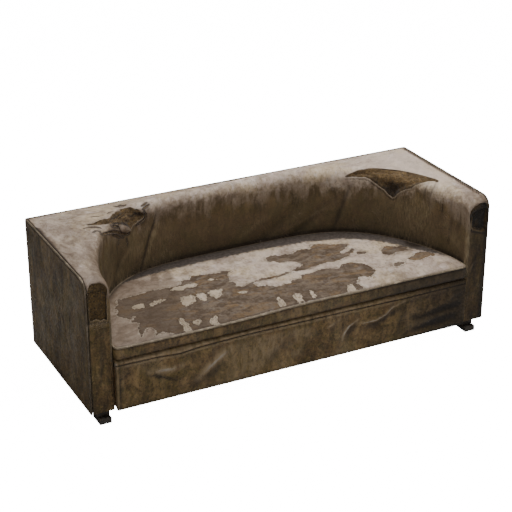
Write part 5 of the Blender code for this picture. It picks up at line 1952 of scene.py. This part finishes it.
def dressCushion():
    points, faces, pinned = cushionShape()
    points = swollen(points, faces, pinned)
    points[:, 1] = np.maximum(points[:, 1], cushion["front"] - 0.006)
    points[:, 2] = np.maximum(points[:, 2], cushion["low"])
    points, faces = subdivided(points, faces)
    x, y, z = points.T
    rim, high = cushionRim(0.0), cushion["rim"]
    flat = points[:, :2]
    onTop = eased(z, high - 0.006, high + 0.001)
    front = eased(0.02 - (y - cushion["front"]), 0.0, 0.02) * (1 - onTop)
    z += seatSag(points)
    z += onTop * (0.002 * cloudNoise(flat, (0.3, 0.16), 121) + 0.0008 * cloudNoise(flat, 0.05, 124))
    upright = np.c_[x, z]
    ripple = 0.0016 * cloudNoise(upright, (0.06, 0.09), 127)
    y += front * (ripple + 0.001 * cloudNoise(upright, (0.025, 0.05), 130))
    for line, width in cushion["dents"]:
        z += onTop * creaseLift(flat, line, width, 0.0015)
    wallGap = np.clip(-outlineDistance(flat, rim), 0, 1)
    # the band of dirt and painted shade along the wall, kept back round the smudge
    rear = outlineDistance(flat, cushion["dirtAndShadeLine"]) - 0.03 * oval(x, y, (0.87, 0.33), (0.06, 0.08))
    # painted shadow along the foot of the wall
    atWall = bump(wallGap, 0.024) * eased(y, 0.0, 0.12) * (1 - 0.6 * eased(x, 0.87, 0.93))
    soil = 0.22 + 0.97 * eased(-x, 0.3, 0.8) + 0.3 * cloudNoise(flat, 0.16, 133)
    soil -= 0.4 * oval(x, y, (-0.85, 0.07), (0.11, 0.08))
    soil += 0.3 * bump(wallGap, 0.09) * eased(-x, -0.2, 0.3)
    for line, width in cushion["smears"]:
        soil += 0.55 * foldTone(flat, line, width)
    smudge = np.exp(-((((x - 0.865) / 0.046) ** 2 + ((y - 0.335) / 0.055) ** 2) ** 2))
    inFront = eased(cushion["front"] + 0.03 - y, 0.0, 0.01)
    fall = high + seatSag(points) - z
    # painted shadow at the wall and in the gaps beside the arms, with a dark smudge on the leather
    shadowAndSmudge = 0.95 * atWall + 0.95 * smudge + 0.6 * inFront * bump(wallGap, 0.014) * onTop
    # painted shadow under the welt and along the front face's lower edge, and painted shade darkening the
    # right end
    onFace = 0.75 * bump(fall, 0.008, 0.006) + 0.6 * eased(cushion["low"] + 0.016 - z, 0.0, 0.012)
    shadowAndSmudge += inFront * (1 - onTop) * (onFace + 0.715 * eased(x, 0.2, 0.7))
    islands = np.min([outlineDistance(flat, island) for island in keptIslands], axis=0)
    values = {
        "peel": peelDistance(flat) + 0.05 * (1 - onTop), "rear": rear, "soil": np.clip(soil, 0, 1),
        "isle": (islands < 0.006) * 1.0, "side": 1 - onTop, "shadowAndSmudge": np.clip(shadowAndSmudge, 0, 0.95),
    }
    run = lineDistance(flat, rim, closed=True)[1] * 5.4
    uv = np.where((onTop > 0.5)[:, None], flat, np.c_[run, z])
    outward = (points - points.mean(0)) * [0.2, 0.4, 8.0]
    piece = makePiece("seatCushion", points, faces, [seatLeather], outward, uv, values)
    settle(piece, "seat_leather", "seat_cushion", fill=0.8)


print("seat cushion")
dressCushion()


def dressSeatWelt():
    centre = cushion["welt"] + 0.0003
    level = cushion["rim"] - cushion["ledge"] + centre + 0.0004
    flat = cushionRim(centre)
    sag = seatSag(np.c_[flat, np.full(len(flat), cushion["rim"])])
    path = np.c_[flat, level + sag]
    closed = evenLine(np.r_[path, path[:1]], 0.006)
    swell = cushion["welt"] * (1 + 0.07 * smoothNoise(closed, 0.02, 141))
    points, faces, outward = tubeMesh(closed, swell, 10)
    pale = 1.0 + 0.3 * cloudNoise(points, 0.05, 143)
    pale -= eased(points[:, 1], 0.1, 0.3) * np.where(points[:, 0] < -0.6, 0.55, 1.1)
    values = {"pale": np.clip(pale, 0, 1)}
    piece = makePiece("seatWelt", points, faces, [weltLeather], outward, None, values)
    settle(piece, "piping_leather", "seat_piping")
    inFront = closed[closed[:, 1] < cushion["front"] + 0.03]
    row = inFront[np.argsort(inFront[:, 0])] + [0.0, -0.0032, -0.0062]
    sewRows(
        "seatStitches", [(row, (0.0, -1.0, 0.1))], thread, "seat_leather",
        Pitch=0.0068, Length=0.0045, Thickness=0.0016, Kept=0.93, Seed=5,
    )


print("seat welt")
dressSeatWelt()

# Outer welt and its stitches
welt = {
    "radius": 0.005,
    "cornerTurn": 0.004,
    "seamGap": 0.0085,  # from the welt's middle to the fine row of stitches
    "repairGap": 0.0185,  # from the welt's middle to the coarse repairs
    "repairPitch": 0.018,
}


def weltPath():
    inset = welt["radius"]
    curve = inside["frontRound"]
    angles = np.radians(np.linspace(180, 90, 14))
    reach = curve - inset
    rise = np.c_[curve + reach * np.cos(angles), boxTop - curve + reach * np.sin(angles)]
    x, y, z = boxHalf - inset, boxDepth - inset, boxTop - inset
    turn = np.radians(np.linspace(0, 90, 6))
    corner = np.c_[x - welt["cornerTurn"] * (1 - np.cos(turn)), y - welt["cornerTurn"] * (1 - np.sin(turn))]
    right = [(x, inset, 0.0)] + [(x, a, b) for a, b in rise] + [(a, b, z) for a, b in corner]
    left = [(-a, b, c) for a, b, c in right[::-1]]
    return evenLine(right + left, 0.006)


def dressWelt():
    path = weltPath()
    swell = welt["radius"] * (1 - 0.05 + 0.05 * smoothNoise(path, 0.02, 151))
    points, faces, outward = tubeMesh(path, swell, 12)
    onTop = eased(points[:, 2], boxTop - 0.02, boxTop - 0.004)
    pale = 0.42 + 0.3 * cloudNoise(points, 0.05, 153)
    pale = np.interp(points[:, 2], [0.0, 0.12, 0.5], [0.1, 0.4, 1.0]) * pale
    pale += onTop * np.where(points[:, 0] > 0, 0.15, 0.3)
    pale -= onTop * eased(points[:, 1], boxDepth - 0.03, boxDepth - 0.012)
    pale -= 0.9 * (points[:, 0] > 0) * eased(boxTop - points[:, 2], 0.03, 0.09)
    values = {"pale": np.clip(pale, 0, 1)}
    piece = makePiece("outerWelt", points, faces, [weltLeather], outward, None, values)
    settle(piece, "piping_leather", "outer_piping")
    # a fine row in the seam beside the welt, and coarse repairs over the right arm's welt
    x, y, z = path.T
    top = z > boxTop - 0.006
    seam = path.copy()
    seam[:, 0] -= np.sign(x) * np.where(np.abs(x) > boxHalf - 0.012, welt["seamGap"], 0)
    seam[:, 1] -= np.where(y > boxDepth - 0.012, welt["seamGap"], 0)
    rows = []
    flatTop = seam[top & (seam[:, 1] > 0.06)]
    flatTop[:, 2] = insideTop + 0.0002
    rows.append((flatTop, (0.0, 0.0, 1.0)))
    for side in (-1, 1):
        up = seam[(y < 0.012) & (np.sign(x) == side)]
        up = up[np.argsort(up[:, 2])]
        rows.append((np.c_[up[:, 0], np.full(len(up), 0.0002), up[:, 2]], (0.0, -1.0, 0.0)))
    sewRows(
        "weltStitches", rows, thread, "piping_leather",
        Pitch=0.0085, Length=0.0058, Thickness=0.0014, Kept=0.9, Seed=6,
    )
    right = path[top & (x > boxHalf - 0.02) & (y > 0.07) & (y < boxDepth - 0.035)]
    right = right[np.argsort(right[:, 1])] - [welt["repairGap"], 0.0, 0.0]
    right[:, 2] = insideTop + 0.0006
    sewRows(
        "whipStitches", [(right, (0.0, 0.0, 1.0))], darkThread, "piping_leather",
        Pitch=welt["repairPitch"], Length=0.046, Thickness=0.005, Turn=-0.5, Loose=0.12, Kept=0.97, Seed=8,
    )


print("outer welt")
dressWelt()


def dressRemnants():
    # frayed stitches along the lower edge of the left arm's worn patch
    rows = []
    places = metres([(474, 998, 1078), (464, 1000, 1072), (453, 1002, 1070), (443, 1010, 1060)])
    for level, start, end in places:
        x = np.linspace(-end, -start, 12)
        z = level + 0.0015 * smoothNoise(np.c_[x, np.full(12, level)], 0.01, 161) + 0.06 * (x + 1.04)
        rows.append((np.c_[x, np.full(12, -0.0004), z], (0.0, -1.0, 0.0)))
    sewRows(
        "armStitches", rows, paleThread, "panel_leather",
        Pitch=0.0105, Length=0.0075, Thickness=0.0013, Loose=0.5, Kept=0.75, Seed=11,
    )


dressRemnants()

# Feet
feet = {"bevel": 0.0035, "chip": 0.0028, "cells": 14}


def roundedBlock(low, high, seed):
    # a block whose edges are rounded and knocked
    low, high = np.array(low), np.array(high)
    count = feet["cells"]
    share = np.linspace(0, 1, count)
    square = gridOf(share, share).reshape(-1, 2)
    points, faces = [], []
    for axis in range(3):
        for level in (0.0, 1.0):
            quads = gridFaces(count, count) + len(points)
            if (axis != 1) == (level == 0.0):
                quads = quads[:, ::-1]
            points += [*np.insert(square, axis, level, axis=1)]
            faces += quads.tolist()
    points = low + np.array(points) * (high - low)
    bevel = feet["bevel"]
    core = np.clip(points, low + bevel, high - bevel)
    away = points - core
    reach = np.linalg.norm(away, axis=1, keepdims=True)
    edges = (np.abs(away) > bevel * 0.5).sum(1) >= 2
    knock = eased(cloudNoise(points, 0.014, seed), 0.15, 0.6) * edges
    points = core + away / np.maximum(reach, 1e-9) * (bevel - feet["chip"] * knock)[:, None]
    return points, faces, knock


def dressFoot(name, label, seed):
    low, high = lowCorner(name), highCorner(name)
    front = "front" in name
    neck = (low[1] + 0.029, low[1] + 0.085) if front else (high[1] - 0.085, high[1] - 0.029)
    toe = roundedBlock(low, (high[0], high[1], low[2] + 0.03), seed)
    stem = roundedBlock((low[0], neck[0], low[2] + 0.02), (high[0], neck[1], high[2]), seed + 3)
    points = np.r_[toe[0], stem[0]]
    faces = toe[1] + [[corner + len(toe[0]) for corner in face] for face in stem[1]]
    shape = shapeOf(points, faces)
    chips = shape.verts.layers.float.new("chip")
    for corner, value in zip(shape.verts, np.r_[toe[2], stem[2]]):
        corner[chips] = float(value)
    bmesh.ops.remove_doubles(shape, verts=shape.verts[:], dist=1e-5)
    bmesh.ops.recalc_face_normals(shape, faces=shape.faces[:])
    bmesh.ops.translate(shape, verts=shape.verts[:], vec=Vector(origin))
    data = bpy.data.meshes.new(label)
    shape.to_mesh(data)
    shape.free()
    data.materials.append(footWood)
    data.shade_smooth()
    settle(addObject(label, data), "foot_wood", name)


print("feet")
corners = (("front", "left"), ("front", "right"), ("back", "left"), ("back", "right"))
for number, (end, hand) in enumerate(corners):
    dressFoot(f"{end}_{hand}_foot", f"{end}{hand.title()}Foot", 170 + 10 * number)

# The frame's own nodes keep their shapes
slotFinish = {
    "padding": hair, "hardwood": timber, "plywood": plywood, "fibreboard": fibreboard,
    "webbing": webbing, "cambric": cambric, "bolt_steel": zinc,
}
for row in frame["record"]["subparts"]:
    node = frame["nodes"][row["node"]]
    finish = slotFinish.get(row["material_slot"])
    if finish and not node.hide_render:
        for index in range(len(node.data.materials)):
            node.data.materials[index] = finish

# Floor, light and camera
stage = {"floor": 60.0, "pale": (0.8, 0.8, 0.8), "glow": 16.0, "backdrop": 16.0, "fill": 0.15}
floorMaterial, floorTree, floorShader = newMaterial("pale_floor", 0.9, 0.1)
floorShader.inputs["Base Color"].default_value = (*stage["pale"], 1.0)
# the floor reads white to the camera without lighting the sofa from below
seen = addNode(floorTree, "LightPath").outputs["Is Camera Ray"]
glow = addNode(floorTree, "Emission", {"Color": (1.0, 1.0, 1.0, 1.0), "Strength": stage["glow"]})
plain = addNode(floorTree, "Emission", {"Strength": 0.0})
bright = addNode(floorTree, "MixShader", {0: seen, 1: plain.outputs[0], 2: glow.outputs[0]})
both = addNode(floorTree, "AddShader", {0: floorShader.outputs[0], 1: bright.outputs[0]})
floorTree.links.new(both.outputs[0], floorTree.nodes["Material Output"].inputs[0])
half = stage["floor"] / 2
square = [(-half, -half, 0), (half, -half, 0), (half, half, 0), (-half, half, 0)]
floorMesh = meshOf("floor", square, [(0, 1, 2, 3)])
floorMesh.materials.append(floorMaterial)
floor = addObject("floor", floorMesh)

lights = [  # name, place, aim, size, power
    ("overhead", (0.3, 0.0, 3.4), (0.0, 0.0, 0.3), (4.2, 2.6), 150.0),
    ("front", (-2.8, -4.2, 2.4), (0.0, 0.0, 0.35), (3.0, 2.2), 16.0),
]
for name, place, aim, size, power in lights:
    lamp = bpy.data.lights.new(name, "AREA")
    lamp.shape = "RECTANGLE"
    lamp.size, lamp.size_y = size
    lamp.energy = power
    holder = addObject(name, lamp)
    holder.location = place
    holder.rotation_euler = (Vector(aim) - Vector(place)).to_track_quat("-Z", "Y").to_euler()

world = bpy.data.worlds.new("studio")
world.use_nodes = True
worldTree = world.node_tree
worldLight = worldTree.nodes["Background"]
worldLight.inputs["Color"].default_value = (1.0, 1.0, 1.0, 1.0)
worldLight.inputs["Strength"].default_value = stage["fill"]
inputs = {"Color": (1.0, 1.0, 1.0, 1.0), "Strength": stage["backdrop"]}
backdrop = addNode(worldTree, "Background", inputs)
toCamera = addNode(worldTree, "LightPath").outputs["Is Camera Ray"]
inputs = {0: toCamera, 1: worldLight.outputs[0], 2: backdrop.outputs[0]}
worldMix = addNode(worldTree, "MixShader", inputs)
worldTree.links.new(worldMix.outputs[0], worldTree.nodes["World Output"].inputs[0])
bpy.context.scene.world = world

view = {"place": (-3.052, -5.9275, 3.593), "tilt": 65.04, "turn": -26.97, "lens": 102.08}
cameraData = bpy.data.cameras.new("camera")
cameraData.lens = view["lens"]
cameraData.sensor_width = 36.0
camera = addObject("camera", cameraData)
camera.location = view["place"]
camera.rotation_euler = (math.radians(view["tilt"]), 0.0, math.radians(view["turn"]))
bpy.context.scene.camera = camera
